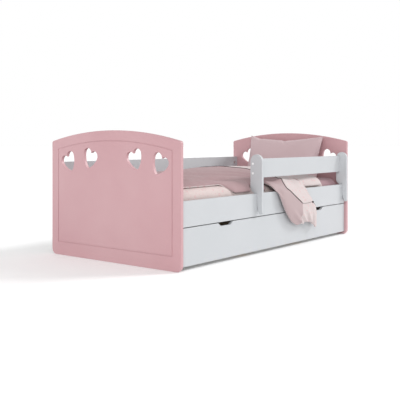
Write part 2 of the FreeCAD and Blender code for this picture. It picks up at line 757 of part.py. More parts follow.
POST_X = {
    "foot": f"({FOOT_END} + dims.post_foot_x)",
    "head": f"({FOOT_END} + dims.post_head_x - dims.post_thick)",
}
POST_MID_X = {side: f"({x} + dims.post_thick / 2)" for side, x in POST_X.items()}
POST_OUTER_X = {
    "foot": POST_X["foot"],
    "head": f"({POST_X['head']} + dims.post_thick)",
}
GUARD_MID_Y = f"({RAIL_INNER} + dims.guard_thick / 2)"
GUARD_SCREW_HEIGHTS = ("dims.guard_screw_low", "dims.guard_screw_high")
CONFIRMAT_HEIGHTS = ("dims.confirmat_low", "dims.confirmat_high")


def post_loop(sketch):
    """The post's side view: round top, rounded foot on the rail, and a curled leg outside it."""
    outer = -(size("bed_width") + size("post_proud")) / 2
    inner = outer + size("post_deep")
    radius = size("post_deep") / 2
    spring = size("post_top") - radius
    notch_out = outer + size("post_proud") + size("rail_inset")
    notch_in = notch_out + size("board_thick")
    rail_top = size("rail_top")
    heel = rail_top + math.sqrt(radius ** 2 - (radius - inner + notch_in) ** 2)
    heel_centre = (inner - radius, heel)

    curl = size("post_curl")
    curl_centre = (outer + curl, size("post_base") + curl)
    ankle = size("post_base") + size("post_ankle")
    drop = ankle - curl_centre[1]
    span = notch_out - curl_centre[0]
    calf = (drop ** 2 + span ** 2 - curl ** 2) / (2 * (span - curl))
    calf_centre = (notch_out - calf, ankle)
    toe_angle = math.atan2(curl_centre[1] - calf_centre[1], curl_centre[0] - calf_centre[0])

    def on(centre, length, angle):
        return (centre[0] + length * math.cos(angle), centre[1] + length * math.sin(angle))

    heel_angle = math.atan2(rail_top - heel, notch_in - heel_centre[0])
    toe = on(curl_centre, curl, toe_angle)
    curl_end = (outer, curl_centre[1])
    curl_angle = (toe_angle - math.pi) / 2
    return chain(sketch, [
        line(curl_end, (outer, spring)),
        arc((outer, spring), (outer + radius, size("post_top")), (inner, spring)),
        line((inner, spring), (inner, heel)),
        arc((inner, heel), on(heel_centre, radius, heel_angle / 2), (notch_in, rail_top)),
        line((notch_in, rail_top), (notch_out, rail_top)),
        line((notch_out, rail_top), (notch_out, ankle)),
        arc((notch_out, ankle), on(calf_centre, calf, toe_angle / 2), toe),
        arc(toe, on(curl_centre, curl, curl_angle), curl_end),
    ])


def guard_posts():
    for side in SIDES:
        name = f"guard_post_{side}"
        body = doc.addObject("PartDesign::Body", f"{name}_blank")
        outline = new_sketch(body, f"{name}_outline")
        post_loop(outline)
        pad(body, f"{name}_pad", outline, "dims.post_thick")
        fillet(body, f"{name}_rounding", "dims.post_round", lies_across_x)
        body.setExpression("Placement.Base.x", POST_X[side])
        tools = []
        for height in GUARD_SCREW_HEIGHTS:
            tools.append(cylinder(f"{name}_pilot", "dims.screw_radius + dims.bore_play",
                                  "dims.guard_screw - dims.board_thick + dims.bore_play",
                                  POST_MID_X[side], RAIL_OUTER, height, "-y"))
        for height in CONFIRMAT_HEIGHTS:
            tools += confirmat_hole(name, POST_OUTER_X[side], GUARD_MID_Y, height, INWARD[side])
        if side == "head":
            tools.append(cylinder(f"{name}_relief", "dims.relief_radius", "dims.post_thick",
                                  POST_X[side], f"{RAIL_OUTER} + dims.relief_radius * 0.7",
                                  "dims.rail_top + dims.relief_radius * 0.7", "+x"))
        keep(cut(name, body, tools), name)


def confirmat_hole(name, x, y, z, turn):
    """The stepped hole for a panel screw, from the outer face inwards."""
    play = "dims.bore_play"
    seat = cylinder(f"{name}_seat", f"dims.confirmat_head + {play}", f"dims.confirmat_sink + {play}",
                    x, y, z, turn)
    neck = cylinder(f"{name}_neck_bore", f"dims.confirmat_neck + {play}", "dims.post_thick",
                    x, y, z, turn)
    thread = cylinder(f"{name}_thread_bore", f"dims.confirmat_thread + {play}",
                      f"dims.confirmat + {play}", x, y, z, turn)
    return [seat, neck, thread]


def confirmat_source(name):
    """A panel screw pointing along its own +Z, its head flush with z = 0."""
    head = cylinder(f"{name}_head", "dims.confirmat_head", "dims.confirmat_sink", "0", "0", "0")
    neck = cylinder(f"{name}_neck", "dims.confirmat_neck", "dims.post_thick - dims.bore_play",
                    "0", "0", "0")
    thread = cylinder(f"{name}_thread", "dims.confirmat_thread", "dims.confirmat", "0", "0", "0")
    return fuse(name, [head, neck, thread])


def guard_rail_holes():
    return [hole for side in SIDES for height in GUARD_SCREW_HEIGHTS
            for hole in sunk_hole(f"guard_{side}_hole", "dims.board_thick", POST_MID_X[side],
                                  RAIL_INNER, height, "-y")]


def guard():
    guard_posts()
    start = f"({POST_X['foot']} + dims.post_thick)"
    board = box("guard_board_blank", f"{POST_X['head']} - {start}", "dims.guard_thick",
                "dims.guard_high", start, RAIL_INNER, "dims.guard_base")
    edges = rounded("guard_board_edges", board, size("post_round"),
                    lambda edge: edge.BoundBox.XLength > 100)
    tools = []
    for side in SIDES:
        for height in CONFIRMAT_HEIGHTS:
            tools += confirmat_hole(f"guard_board_{side}", POST_OUTER_X[side], GUARD_MID_Y, height,
                                    INWARD[side])
    keep(cut("guard_board", edges, tools), "guard_board")

    screw = sunk_screw_source("guard_screw", "dims.screw_radius", "dims.guard_screw",
                              "dims.screw_head", "dims.screw_sink")
    group_of("guard_screws", screw, [(POST_MID_X[side], RAIL_INNER, height, "-y")
                                     for side in SIDES for height in GUARD_SCREW_HEIGHTS])
    confirmat = confirmat_source("confirmat")
    group_of("guard_confirmats", confirmat, [(POST_OUTER_X[side], GUARD_MID_Y, height, INWARD[side])
                                             for side in SIDES for height in CONFIRMAT_HEIGHTS])
    cap = cylinder("guard_cap", "dims.cap_radius", "dims.cap_thick", "0", "0", "0")
    group_of("guard_caps", cap, [(POST_OUTER_X[side], GUARD_MID_Y, height, OUTWARD[side])
                                 for side in SIDES for height in CONFIRMAT_HEIGHTS])
    return confirmat


# Drawer box

BOX_MID_X = f"({BOX_OUTER_X} - dims.drawer_thick / 2)"
DRAWER_CAM_HEIGHTS = ("dims.drawer_cam_low", "dims.drawer_cam_high")
BACK_SCREW_HEIGHTS = ("dims.back_screw_low", "dims.back_screw_high")
BACK_MID_Y = f"({BOX_REAR} - dims.drawer_thick / 2)"


def floor_space(name):
    """The room that the drawer bottom takes in its grooves."""
    reach = f"({BOX_INNER_X} + dims.floor_tongue + dims.floor_play)"
    start_y = f"({BOX_FRONT} - dims.floor_tongue - dims.floor_play)"
    end_y = f"({BOX_REAR} - dims.drawer_thick + dims.floor_tongue + dims.floor_play)"
    return box(name, f"2 * {reach}", f"{end_y} - {start_y}", "dims.floor_thick + 2 * dims.floor_play",
               f"-{reach}", start_y, f"{FLOOR_BASE} - dims.floor_play")


def drawer_front():
    """The front, its top edge cut down at two finger notches with sloping ends."""
    long_size = f"2 * ({INSIDE_X} - dims.drawer_gap)"
    board = box("drawer_front_board", long_size, "dims.drawer_thick",
                "dims.drawer_top - dims.drawer_base", f"-({INSIDE_X} - dims.drawer_gap)",
                RAIL_OUTER, "dims.drawer_base")
    tools = []
    for side in SIDES:
        body = doc.addObject("PartDesign::Body", f"notch_{side}")
        outline = new_sketch(body, f"notch_{side}_outline", "XZ_Plane")
        top = size("notch_wide") / 2
        floor = size("notch_floor") / 2
        deep = size("notch_deep")
        corner_loop(outline, [(-top, 0), (-floor, -deep), (floor, -deep), (top, 0), (top, 5), (-top, 5)])
        pad(body, f"notch_{side}_pad", outline, "dims.drawer_thick * 3")
        body.setExpression("Placement.Base.x", sign_x(side, "dims.notch_side"))
        body.setExpression("Placement.Base.y", f"{RAIL_OUTER} + dims.drawer_thick * 2")
        body.setExpression("Placement.Base.z", "dims.drawer_top")
        tools.append(body)
    notched = cut("drawer_front_notched", board, tools)
    edges = rounded("drawer_front_edges", notched, size("board_round"))
    holes = [floor_space("drawer_front_groove")]
    for side in SIDES:
        for height in DRAWER_CAM_HEIGHTS:
            holes.append(cylinder(f"drawer_front_{side}_hole", "dims.bolt_radius + dims.bore_play",
                                  "dims.bolt_in_panel + dims.bore_play", sign_x(side, BOX_MID_X),
                                  BOX_FRONT, height, "-y"))
    keep(cut("drawer_front", edges, holes), "drawer_front")


def drawer_side(side):
    x = f"-{BOX_OUTER_X}" if side == "foot" else BOX_INNER_X
    board = box(f"drawer_side_{side}_board", "dims.drawer_thick", "dims.drawer_deep", "dims.box_high",
                x, BOX_FRONT, "dims.box_base")
    tools = [floor_space(f"drawer_side_{side}_groove")]
    for height in DRAWER_CAM_HEIGHTS:
        tools.append(cylinder(f"drawer_side_{side}_bore", "dims.bolt_radius + dims.bore_play",
                              "dims.drawer_cam_back", sign_x(side, BOX_MID_X), BOX_FRONT, height, "+y"))
        tools.append(cylinder(f"drawer_side_{side}_seat", "dims.cam_radius + dims.bore_play",
                              "dims.cam_deep + dims.bore_play", sign_x(side, BOX_INNER_X),
                              f"{BOX_FRONT} + dims.drawer_cam_back", height, OUTWARD[side]))
    for height in BACK_SCREW_HEIGHTS:
        tools += confirmat_hole(f"drawer_side_{side}", sign_x(side, BOX_OUTER_X), BACK_MID_Y, height,
                                INWARD[side])
    for y in runner_screw_rows():
        tools.append(cylinder(f"drawer_side_{side}_pilot", "dims.screw_radius + dims.bore_play",
                              "dims.runner_screw + dims.bore_play", sign_x(side, BOX_OUTER_X), y,
                              "dims.runner_base + dims.runner_screw_up", INWARD[side]))
    keep(cut(f"drawer_side_{side}", board, tools), f"drawer_side_{side}")


def drawer_box(confirmat):
    drawer_front()
    for side in SIDES:
        drawer_side(side)
    back_y = f"{BOX_REAR} - dims.drawer_thick"
    back = box("drawer_back_board", f"2 * {BOX_INNER_X}", "dims.drawer_thick", "dims.box_high",
               f"-{BOX_INNER_X}", back_y, "dims.box_base")
    tools = [floor_space("drawer_back_groove")]
    for side in SIDES:
        for height in BACK_SCREW_HEIGHTS:
            tools += confirmat_hole(f"drawer_back_{side}", sign_x(side, BOX_OUTER_X), BACK_MID_Y,
                                    height, INWARD[side])
    keep(cut("drawer_back", back, tools), "drawer_back")

    keep(box("drawer_bottom", f"2 * ({BOX_INNER_X} + dims.floor_tongue)",
             "dims.drawer_deep - dims.drawer_thick + 2 * dims.floor_tongue", "dims.floor_thick",
             f"-({BOX_INNER_X} + dims.floor_tongue)", f"{BOX_FRONT} - dims.floor_tongue", FLOOR_BASE),
         "drawer_bottom")
    for side in SIDES:
        keep(box(f"drawer_brace_{side}", "dims.brace_wide", "dims.drawer_deep - dims.drawer_thick",
                 "dims.floor_up", f"{sign_x(side, 'dims.brace_side')} - dims.brace_wide / 2",
                 BOX_FRONT, "dims.box_base"), f"drawer_brace_{side}")

    lock = cam_lock_source("drawer_lock", "dims.drawer_thick", "y")
    bolt = cam_bolt_source("drawer_bolt", "dims.drawer_cam_back")
    locks = []
    bolts = []
    for side in SIDES:
        for height in DRAWER_CAM_HEIGHTS:
            locks.append((sign_x(side, BOX_INNER_X), f"{BOX_FRONT} + dims.drawer_cam_back", height,
                          OUTWARD[side]))
            bolts.append((sign_x(side, BOX_MID_X), BOX_FRONT, height, "+y"))
    group_of("drawer_cam_locks", lock, locks)
    group_of("drawer_cam_bolts", bolt, bolts)
    group_of("drawer_confirmats", confirmat,
             [(sign_x(side, BOX_OUTER_X), BACK_MID_Y, height, INWARD[side])
              for side in SIDES for height in BACK_SCREW_HEIGHTS])


# Roller runners. Distances called "out" are measured from an end panel's inner face.

RUNNER_START = f"({BOX_FRONT} + dims.runner_front)"
RUNNER_LONG = f"({BOX_REAR} + dims.runner_sheet - {RUNNER_START})"
FIXED_WHEEL_Y = f"({BOX_FRONT} + dims.front_wheel_back)"
MOVING_WHEEL_Y = f"({BOX_REAR} - dims.rear_wheel_in)"
FIXED_WHEEL_Z = "(dims.runner_base + dims.rail_flange_up - dims.wheel_play - dims.wheel_radius)"
MOVING_WHEEL_Z = "(dims.runner_base + dims.runner_sheet + dims.wheel_play + dims.wheel_radius)"


def runner_screw_rows():
    first = f"({BOX_FRONT} + dims.runner_screw_start)"
    return [f"({first} + dims.runner_screw_run * {i} / 2)" for i in range(3)]


def runner_box(name, side, near, far, y, long_size, low, high):
    """A strip of a runner between two distances out from the end panel's inner face."""
    start = f"-{INSIDE_X} + {near}" if side == "foot" else f"{INSIDE_X} - ({far})"
    return box(name, f"({far}) - ({near})", long_size, f"({high}) - ({low})", start, y,
               f"dims.runner_base + {low}")


def out_x(side, out):
    return sign_x(side, f"{INSIDE_X} - ({out})")


def fixed_runner(side):
    name = f"cabinet_runner_{side}"
    web = runner_box(f"{name}_web", side, "0", "dims.runner_sheet", RUNNER_START, RUNNER_LONG,
                     "0", "dims.runner_high")
    floor = runner_box(f"{name}_floor", side, "0", "dims.runner_lip", RUNNER_START, RUNNER_LONG,
                       "0", "dims.runner_sheet")
    lip = runner_box(f"{name}_lip", side, "0", "dims.runner_lip", RUNNER_START, RUNNER_LONG,
                     "dims.runner_high - dims.runner_sheet", "dims.runner_high")
    stop = runner_box(f"{name}_stop", side, "0", "dims.runner_lip", BOX_REAR, "dims.runner_sheet",
                      "0", "dims.runner_high")
    profile = fuse(f"{name}_profile", [web, floor, lip, stop])
    tools = [cylinder(f"{name}_hole", "dims.screw_radius + dims.bore_play", "dims.runner_sheet",
                      out_x(side, "0"), y, "dims.runner_base + dims.runner_screw_up", INWARD[side])
             for y in runner_screw_rows()]
    keep(cut(name, profile, tools), name)


def moving_runner(side):
    name = f"drawer_runner_{side}"
    leg = runner_box(f"{name}_leg", side, "dims.runner_gap - dims.runner_sheet", "dims.runner_gap",
                     RUNNER_START, f"{BOX_REAR} - {RUNNER_START}", "dims.rail_leg_up",
                     "dims.rail_flange_up + dims.runner_sheet")
    flange = runner_box(f"{name}_flange", side, "dims.rail_flange_in", "dims.runner_gap",
                        RUNNER_START, f"{BOX_REAR} - {RUNNER_START}", "dims.rail_flange_up",
                        "dims.rail_flange_up + dims.runner_sheet")
    profile = fuse(f"{name}_profile", [leg, flange])
    tools = [cylinder(f"{name}_hole", "dims.screw_radius + dims.bore_play", "dims.runner_sheet",
                      out_x(side, "dims.runner_gap"), y,
                      "dims.runner_base + dims.runner_screw_up", OUTWARD[side])
             for y in runner_screw_rows()]
    keep(cut(name, profile, tools), name)


def wheel(label, side, y, z):
    tyre = cylinder(f"{label}_disc", "dims.wheel_radius", "dims.wheel_wide",
                    out_x(side, "dims.wheel_in"), y, z, INWARD[side])
    edges = rounded(f"{label}_edges", tyre, size("board_round") / 2)
    bore = cylinder(f"{label}_bore", "dims.wheel_bore", "dims.wheel_wide",
                    out_x(side, "dims.wheel_in"), y, z, INWARD[side])
    keep(cut(label, edges, [bore]), label)


def runners():
    for side in SIDES:
        fixed_runner(side)
        moving_runner(side)
        wheel(f"cabinet_roller_{side}", side, FIXED_WHEEL_Y, FIXED_WHEEL_Z)
        wheel(f"drawer_roller_{side}", side, MOVING_WHEEL_Y, MOVING_WHEEL_Z)
    pin = cylinder("roller_pin", "dims.pin_radius", "dims.pin_long", "0", "0", "0")
    group_of("cabinet_roller_pins", pin,
             [(out_x(side, "dims.runner_sheet"), FIXED_WHEEL_Y, FIXED_WHEEL_Z, INWARD[side])
              for side in SIDES])
    group_of("drawer_roller_pins", pin,
             [(out_x(side, "dims.runner_gap - dims.runner_sheet"), MOVING_WHEEL_Y, MOVING_WHEEL_Z,
               OUTWARD[side]) for side in SIDES])
    head = cylinder("runner_screw_top", "dims.runner_screw_head", "dims.runner_screw_proud",
                    "0", "0", "-dims.runner_screw_proud")
    shank = cylinder("runner_screw_shank", "dims.screw_radius",
                     "dims.runner_screw", "0", "0", "0")
    screw = fuse("runner_screw_one", [head, shank])
    height = "dims.runner_base + dims.runner_screw_up"
    group_of("cabinet_runner_screws", screw,
             [(out_x(side, "dims.runner_sheet"), y, height, OUTWARD[side])
              for side in SIDES for y in runner_screw_rows()])
    group_of("drawer_runner_screws", screw,
             [(out_x(side, "dims.runner_gap - dims.runner_sheet"), y, height, INWARD[side])
              for side in SIDES for y in runner_screw_rows()])


# Bedding as plain closed solids

def mattress():
    base_z = f"{SLAT_TOP} + dims.soft_gap"
    middle = f"(({RAIL_INNER} + {REAR_INNER}) / 2)"
    block = box("mattress_block", "dims.mattress_long", "dims.mattress_wide", "dims.mattress_high",
                "-dims.mattress_long / 2", f"{middle} - dims.mattress_wide / 2", base_z)
    top = size("slat_base") + size("slat_thick") + size("soft_gap") + size("mattress_high")
    keep(rounded("mattress", block, size("mattress_round"),
                 lambda edge: edge.BoundBox.ZMin > top - 1), "mattress")


def duvet():
    base_z = f"({SLAT_TOP} + dims.mattress_high + 2 * dims.soft_gap)"
    block = box("duvet_block", "dims.duvet_long", "dims.duvet_wide", "dims.duvet_high",
                f"{FOOT_END} + dims.duvet_foot", f"{FRONT} + dims.duvet_front", base_z)
    keep(rounded("duvet", block, size("duvet_round")), "duvet")


def duvet_corner():
    """The corner that hangs over the rail: a bent strip, trimmed to its slanting outline."""
    front = (size("post_proud") - size("bed_width")) / 2
    outer_face = front + size("rail_inset") - size("soft_gap")
    thick = size("flap_thick")
    top = size("flap_top")
    under = top - thick
    back = front + size("flap_back")
    low = size("flap_base")
    inner_bend = 2
    bend = thick + inner_bend
    near = outer_face - thick

    body = doc.addObject("PartDesign::Body", "flap_strip")
    profile = new_sketch(body, "flap_profile")
    middle_turn = math.sqrt(0.5)
    chain(profile, [
        line((back, under), (near + bend, under)),
        arc((near + bend, under),
            (near + bend - inner_bend * middle_turn, top - bend + inner_bend * middle_turn),
            (outer_face, top - bend)),
        line((outer_face, top - bend), (outer_face, low)),
        line((outer_face, low), (near, low)),
        line((near, low), (near, top - bend)),
        arc((near, top - bend), (near + bend - bend * middle_turn, top - bend + bend * middle_turn),
            (near + bend, top)),
        line((near + bend, top), (back, top)),
        line((back, top), (back, under)),
    ])
    pad(body, "flap_pad", profile, "dims.bed_length")
    body.setExpression("Placement.Base.x", FOOT_END)

    shape = doc.addObject("PartDesign::Body", "flap_shape")
    outline = new_sketch(shape, "flap_outline", "XZ_Plane")
    foot_end = -size("bed_length") / 2
    top_x = foot_end + size("flap_top_x")
    base_x = foot_end + size("flap_base_x")
    corner_loop(outline, [
        (base_x, low),
        (base_x + size("flap_narrow"), low),
        (base_x + size("flap_narrow"), low + 60),
        (top_x + size("flap_wide"), top),
        (top_x, top),
    ])
    pad(shape, "flap_shape_pad", outline, "dims.bed_width")

    hanging = doc.addObject("Part::Common", "duvet_corner")
    hanging.Base = body
    hanging.Tool = shape
    keep(hanging, "duvet_corner")


def pillow():
    block = doc.addObject("Part::Box", "pillow_block")
    bind(block, Length="dims.pillow_thick", Width="dims.pillow_long", Height="dims.pillow_high")
    place(block, "-dims.pillow_thick / 2", "-dims.pillow_long / 2", "-dims.pillow_high / 2")
    cushion = rounded("pillow", block, size("pillow_round"))
    cushion.Placement = FreeCAD.Placement(
        Vector(), FreeCAD.Rotation(Vector(0, 1, 0), size("pillow_lean")))
    cushion.setExpression("Placement.Base.x", "dims.pillow_x")
    cushion.setExpression("Placement.Base.y", "dims.pillow_y")
    cushion.setExpression("Placement.Base.z", "dims.pillow_z")
    keep(cushion, "pillow")


def check():
    """Stop if any object failed, or a sub-part is empty, invalid or holds no solid."""
    for item in doc.Objects:
        if "Invalid" in item.State or "Error" in item.State:
            raise RuntimeError(f"{item.Label}: {item.State}")
    for piece in nodes:
        if piece.Shape.isNull() or not piece.Shape.isValid() or not piece.Shape.Solids:
            raise RuntimeError(f"{piece.Label} has no valid solid")


def main():
    for side in SIDES:
        name = f"{side}board"
        keep(cut(name, end_panel(side), panel_holes(side)), name)
    side_boards()
    connectors()
    battens()
    slats()
    slat_straps()
    base_screws()
    confirmat = guard()
    drawer_box(confirmat)
    runners()
    mattress()
    duvet()
    duvet_corner()
    pillow()
    doc.recompute()
    check()
    os.makedirs("parts", exist_ok=True)
    for piece in nodes:
        piece.Shape.exportStep(f"parts/{piece.Label}.step")
    whole = Part.makeCompound([piece.Shape for piece in nodes]).BoundBox
    print(len(nodes), "sub-parts,", whole)


main()
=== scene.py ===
import json
import math

import bmesh
import bpy
import numpy as np
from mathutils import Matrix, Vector, noise
from mathutils.bvhtree import BVHTree


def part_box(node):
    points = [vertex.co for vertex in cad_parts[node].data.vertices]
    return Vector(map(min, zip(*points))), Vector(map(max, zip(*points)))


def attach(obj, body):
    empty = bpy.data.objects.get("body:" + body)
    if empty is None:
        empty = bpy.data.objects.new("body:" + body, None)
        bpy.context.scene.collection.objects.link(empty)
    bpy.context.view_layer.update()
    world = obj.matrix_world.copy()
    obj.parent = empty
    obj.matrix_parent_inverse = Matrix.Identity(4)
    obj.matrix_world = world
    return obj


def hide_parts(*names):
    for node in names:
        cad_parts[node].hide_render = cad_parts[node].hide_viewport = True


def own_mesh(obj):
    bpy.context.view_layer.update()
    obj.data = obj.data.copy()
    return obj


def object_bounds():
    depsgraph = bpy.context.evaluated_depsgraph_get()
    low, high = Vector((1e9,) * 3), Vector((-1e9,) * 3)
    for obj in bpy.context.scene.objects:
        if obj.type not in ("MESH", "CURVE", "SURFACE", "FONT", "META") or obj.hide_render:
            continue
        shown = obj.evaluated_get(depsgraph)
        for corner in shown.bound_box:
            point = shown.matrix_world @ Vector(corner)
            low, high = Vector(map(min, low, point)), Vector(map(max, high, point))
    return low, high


# Looks for the toddler bed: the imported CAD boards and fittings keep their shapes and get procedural
# materials, and the mattress, duvet and pillow are built as soft, sewn pieces. Metres, +Z up, +X
# from the foot to the head, -Y the side with the guard and the drawer.

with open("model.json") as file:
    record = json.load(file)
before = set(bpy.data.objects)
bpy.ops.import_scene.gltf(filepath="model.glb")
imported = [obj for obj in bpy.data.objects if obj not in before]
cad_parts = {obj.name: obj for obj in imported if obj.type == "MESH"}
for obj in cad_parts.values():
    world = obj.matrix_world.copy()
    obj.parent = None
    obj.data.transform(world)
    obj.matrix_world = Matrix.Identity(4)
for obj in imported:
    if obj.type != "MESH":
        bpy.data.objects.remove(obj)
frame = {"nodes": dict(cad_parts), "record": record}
cad_low, cad_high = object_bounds()


# Materials

# The colour sockets of Blender's mix node, whose names its other data types share.
MIX_FACTOR, MIX_FIRST, MIX_SECOND = 0, 6, 7
MIX_RESULT = 2


def linear(colour):
    """sRGB 0..255 to the linear values that shaders take."""
    values = []
    for c in colour:
        c = c / 255
        values.append(c / 12.92 if c <= 0.04045 else ((c + 0.055) / 1.055) ** 2.4)
    return (*values, 1)


class Paint:
    """A procedural material under construction: a principled shader and the nodes that feed it.
    Colours are given as sRGB 0..255."""

    def __init__(self, name, colour, roughness, **sockets):
        self.material = bpy.data.materials.new(name)
        self.material.use_nodes = True
        self.nodes = self.material.node_tree.nodes
        self.links = self.material.node_tree.links
        self.shader = self.nodes["Principled BSDF"]
        self.shader.inputs["Base Color"].default_value = linear(colour)
        self.shader.inputs["Roughness"].default_value = roughness
        for socket, value in sockets.items():
            self.shader.inputs[socket.replace("_", " ")].default_value = value

    def node(self, kind, **inputs):
        """A shader node whose named inputs are values or other nodes' outputs."""
        made = self.nodes.new(kind)
        for socket, value in inputs.items():
            self.feed(made, socket.replace("_", " "), value)
        return made

    def feed(self, node, socket, value):
        if isinstance(value, bpy.types.NodeSocket):
            self.links.new(value, node.inputs[socket])
        else:
            node.inputs[socket].default_value = value

    def coords(self, scale=(1, 1, 1)):
        """The piece's own coordinates in metres, scaled."""
        return self.scaled(self.nodes.new("ShaderNodeTexCoord").outputs["Object"], scale)

    def attribute(self, name, output="Fac"):
        """What add_layer stored on the mesh under that name."""
        made = self.nodes.new("ShaderNodeAttribute")
        made.attribute_name = name
        return made.outputs[output]

    def scaled(self, vector, scale):
        return self.node("ShaderNodeMapping", Vector=vector, Scale=scale).outputs["Vector"]

    def shifted(self, vector, shift):
        return self.node("ShaderNodeMapping", Vector=vector, Location=shift).outputs["Vector"]

    def noise(self, vector, scale, detail=2.0, distortion=0.0):
        made = self.node("ShaderNodeTexNoise", Vector=vector, Scale=scale, Detail=detail,
                         Distortion=distortion)
        return made.outputs["Fac"]

    def wave(self, vector, scale, distortion=0.0, detail=1.0, detail_scale=1.0, axis="X"):
        made = self.node("ShaderNodeTexWave", Vector=vector, Scale=scale, Distortion=distortion,
                         Detail=detail, Detail_Scale=detail_scale)
        made.bands_direction = axis
        return made.outputs["Fac"]

    def math(self, operation, *values):
        made = self.nodes.new("ShaderNodeMath")
        made.operation = operation
        for socket, value in enumerate(values):
            self.feed(made, socket, value)
        return made.outputs[0]

    def ramp(self, value, low, high):
        """0 where the value is low, up to 1 where it is high."""
        made = self.node("ShaderNodeMapRange", Value=value, From_Min=low, From_Max=high)
        return made.outputs["Result"]

    def mix(self, factor, first, second):
        """A colour between two, each a colour tuple or a socket."""
        made = self.nodes.new("ShaderNodeMix")
        made.data_type = "RGBA"
        self.feed(made, MIX_FACTOR, factor)
        for socket, colour in ((MIX_FIRST, first), (MIX_SECOND, second)):
            self.feed(made, socket, linear(colour) if isinstance(colour, tuple) else colour)
        return made.outputs[MIX_RESULT]

    def colour(self, socket):
        self.links.new(socket, self.shader.inputs["Base Color"])

    def roughness(self, value, low, high):
        """Let the roughness run from low to high with a value of 0 to 1."""
        made = self.node("ShaderNodeMapRange", Value=value, To_Min=low, To_Max=high)
        self.links.new(made.outputs["Result"], self.shader.inputs["Roughness"])

    def bump(self, height, distance, strength=1.0, under=None):
        """Relief of that depth in metres, over the relief in under."""
        made = self.node("ShaderNodeBump", Height=height, Distance=distance, Strength=strength)
        if under:
            self.links.new(under, made.inputs["Normal"])
        self.links.new(made.outputs["Normal"], self.shader.inputs["Normal"])
        return made.outputs["Normal"]


def lacquer(name, colour, deep):
    """Sprayed satin lacquer: faint cloudiness and the fine ripple of a sprayed coat."""
    p = Paint(name, colour, 0.45, Coat_Weight=0.12, Coat_Roughness=0.3)
    where = p.coords()
    cloud = p.noise(where, 3.0, 3.0)
    p.colour(p.mix(p.ramp(cloud, 0.3, 0.75), deep, colour))
    p.roughness(p.noise(where, 60.0, 3.0), 0.38, 0.52)
    ripple = p.bump(p.noise(where, 420.0, 1.0), 0.00003)
    p.bump(p.noise(where, 1800.0, 1.0), 0.00001, under=ripple)
    return p.material


def melamine(name, colour, deep):
    """White melamine board with a fine pearl texture."""
    p = Paint(name, colour, 0.4, Specular_IOR_Level=0.45)
    where = p.coords()
    p.colour(p.mix(p.ramp(p.noise(where, 2.2, 2.0), 0.3, 0.7), deep, colour))
    p.roughness(p.noise(where, 90.0, 2.0), 0.36, 0.5)
    pearl = p.bump(p.noise(where, 900.0, 2.0), 0.00003)
    p.bump(p.noise(where, 220.0, 1.0), 0.00002, under=pearl)
    return p.material


def softwood(name, along):
    """Planed pine: long grain along one axis, wandering rings, a few knots."""
    p = Paint(name, (214, 178, 128), 0.6)
    where = p.coords(tuple(0.7 if axis == along else 9.0 for axis in "XYZ"))
    across = "Y" if along == "X" else "X"
    rings = p.wave(where, 3.0, distortion=7.0, detail=3.0, detail_scale=1.2, axis=across)
    fibre = p.noise(where, 45.0, 4.0)
    knots = p.node("ShaderNodeTexVoronoi", Vector=p.coords((6.0, 6.0, 6.0)), Scale=1.0)
    knot = p.ramp(knots.outputs["Distance"], 0.10, 0.03)
    tone = p.mix(p.ramp(rings, 0.25, 0.95), (226, 196, 150), (203, 160, 106))
    tone = p.mix(p.math("MULTIPLY", fibre, 0.35), tone, (187, 143, 92))
    p.colour(p.mix(knot, tone, (128, 82, 48)))
    p.roughness(fibre, 0.5, 0.72)
    p.bump(p.math("ADD", p.math("MULTIPLY", rings, 0.5), fibre), 0.00012)
    return p.material


def metal(name, colour, roughness, grain):
    """Plated metal with a fine fleck."""
    p = Paint(name, colour, roughness, Metallic=1.0)
    fleck = p.noise(p.coords(), grain, 3.0)
    p.roughness(fleck, roughness * 0.8, roughness * 1.25)
    p.bump(fleck, 0.00003)
    return p.material


def moulded(name, colour, roughness):
    """Moulded plastic, or powder-coated steel: a slight skin texture."""
    p = Paint(name, colour, roughness)
    skin = p.noise(p.coords(), 700.0, 2.0)
    p.roughness(skin, roughness * 0.85, roughness * 1.15)
    p.bump(skin, 0.00004)
    return p.material


def woven(name, colour, threads):
    """Plain woven cloth whose threads run along its own axes."""
    p = Paint(name, colour, 0.9, Sheen_Weight=0.15)
    where = p.coords()
    warp = p.wave(where, threads, axis="X")
    weft = p.wave(where, threads, axis="Y")
    p.bump(p.math("MULTIPLY", warp, weft), 0.0003)
    return p.material


def paint_nodes():
    """Every hard CAD node gets the material of its kind. The soft ones, which the sewn pieces
    replace, get none."""
    pink = lacquer("pink_lacquer", (199, 160, 164), (193, 150, 155))
    white = melamine("white_melamine", (193, 195, 198), (189, 192, 195))
    grain_x = softwood("pine_along_x", "X")
    grain_y = softwood("pine_along_y", "Y")
    zinc = metal("zinc_plate", (196, 196, 190), 0.38, 500.0)
    steel = moulded("white_powder_coat", (232, 232, 230), 0.42)
    nylon = moulded("nylon", (236, 235, 228), 0.5)
    cap = moulded("cap_plastic", (238, 239, 240), 0.38)
    webbing = woven("webbing_weave", (226, 224, 214), 420.0)
    board = melamine("lacquered_hardboard", (228, 228, 224), (222, 222, 218))
    by_slot = {
        "pink_board": pink, "white_board": white, "pine": grain_y, "beech": grain_x,
        "zinc_steel": zinc, "white_steel": steel, "nylon": nylon, "white_plastic": cap,
        "webbing": webbing, "hardboard": board,
    }
    lengthwise = {"batten_front": grain_x, "batten_rear": grain_x}
    for row in frame["record"]["subparts"]:
        look = lengthwise.get(row["node"], by_slot.get(row["material_slot"]))
        if look:
            for slot in frame["nodes"][row["node"]].material_slots:
                slot.material = look


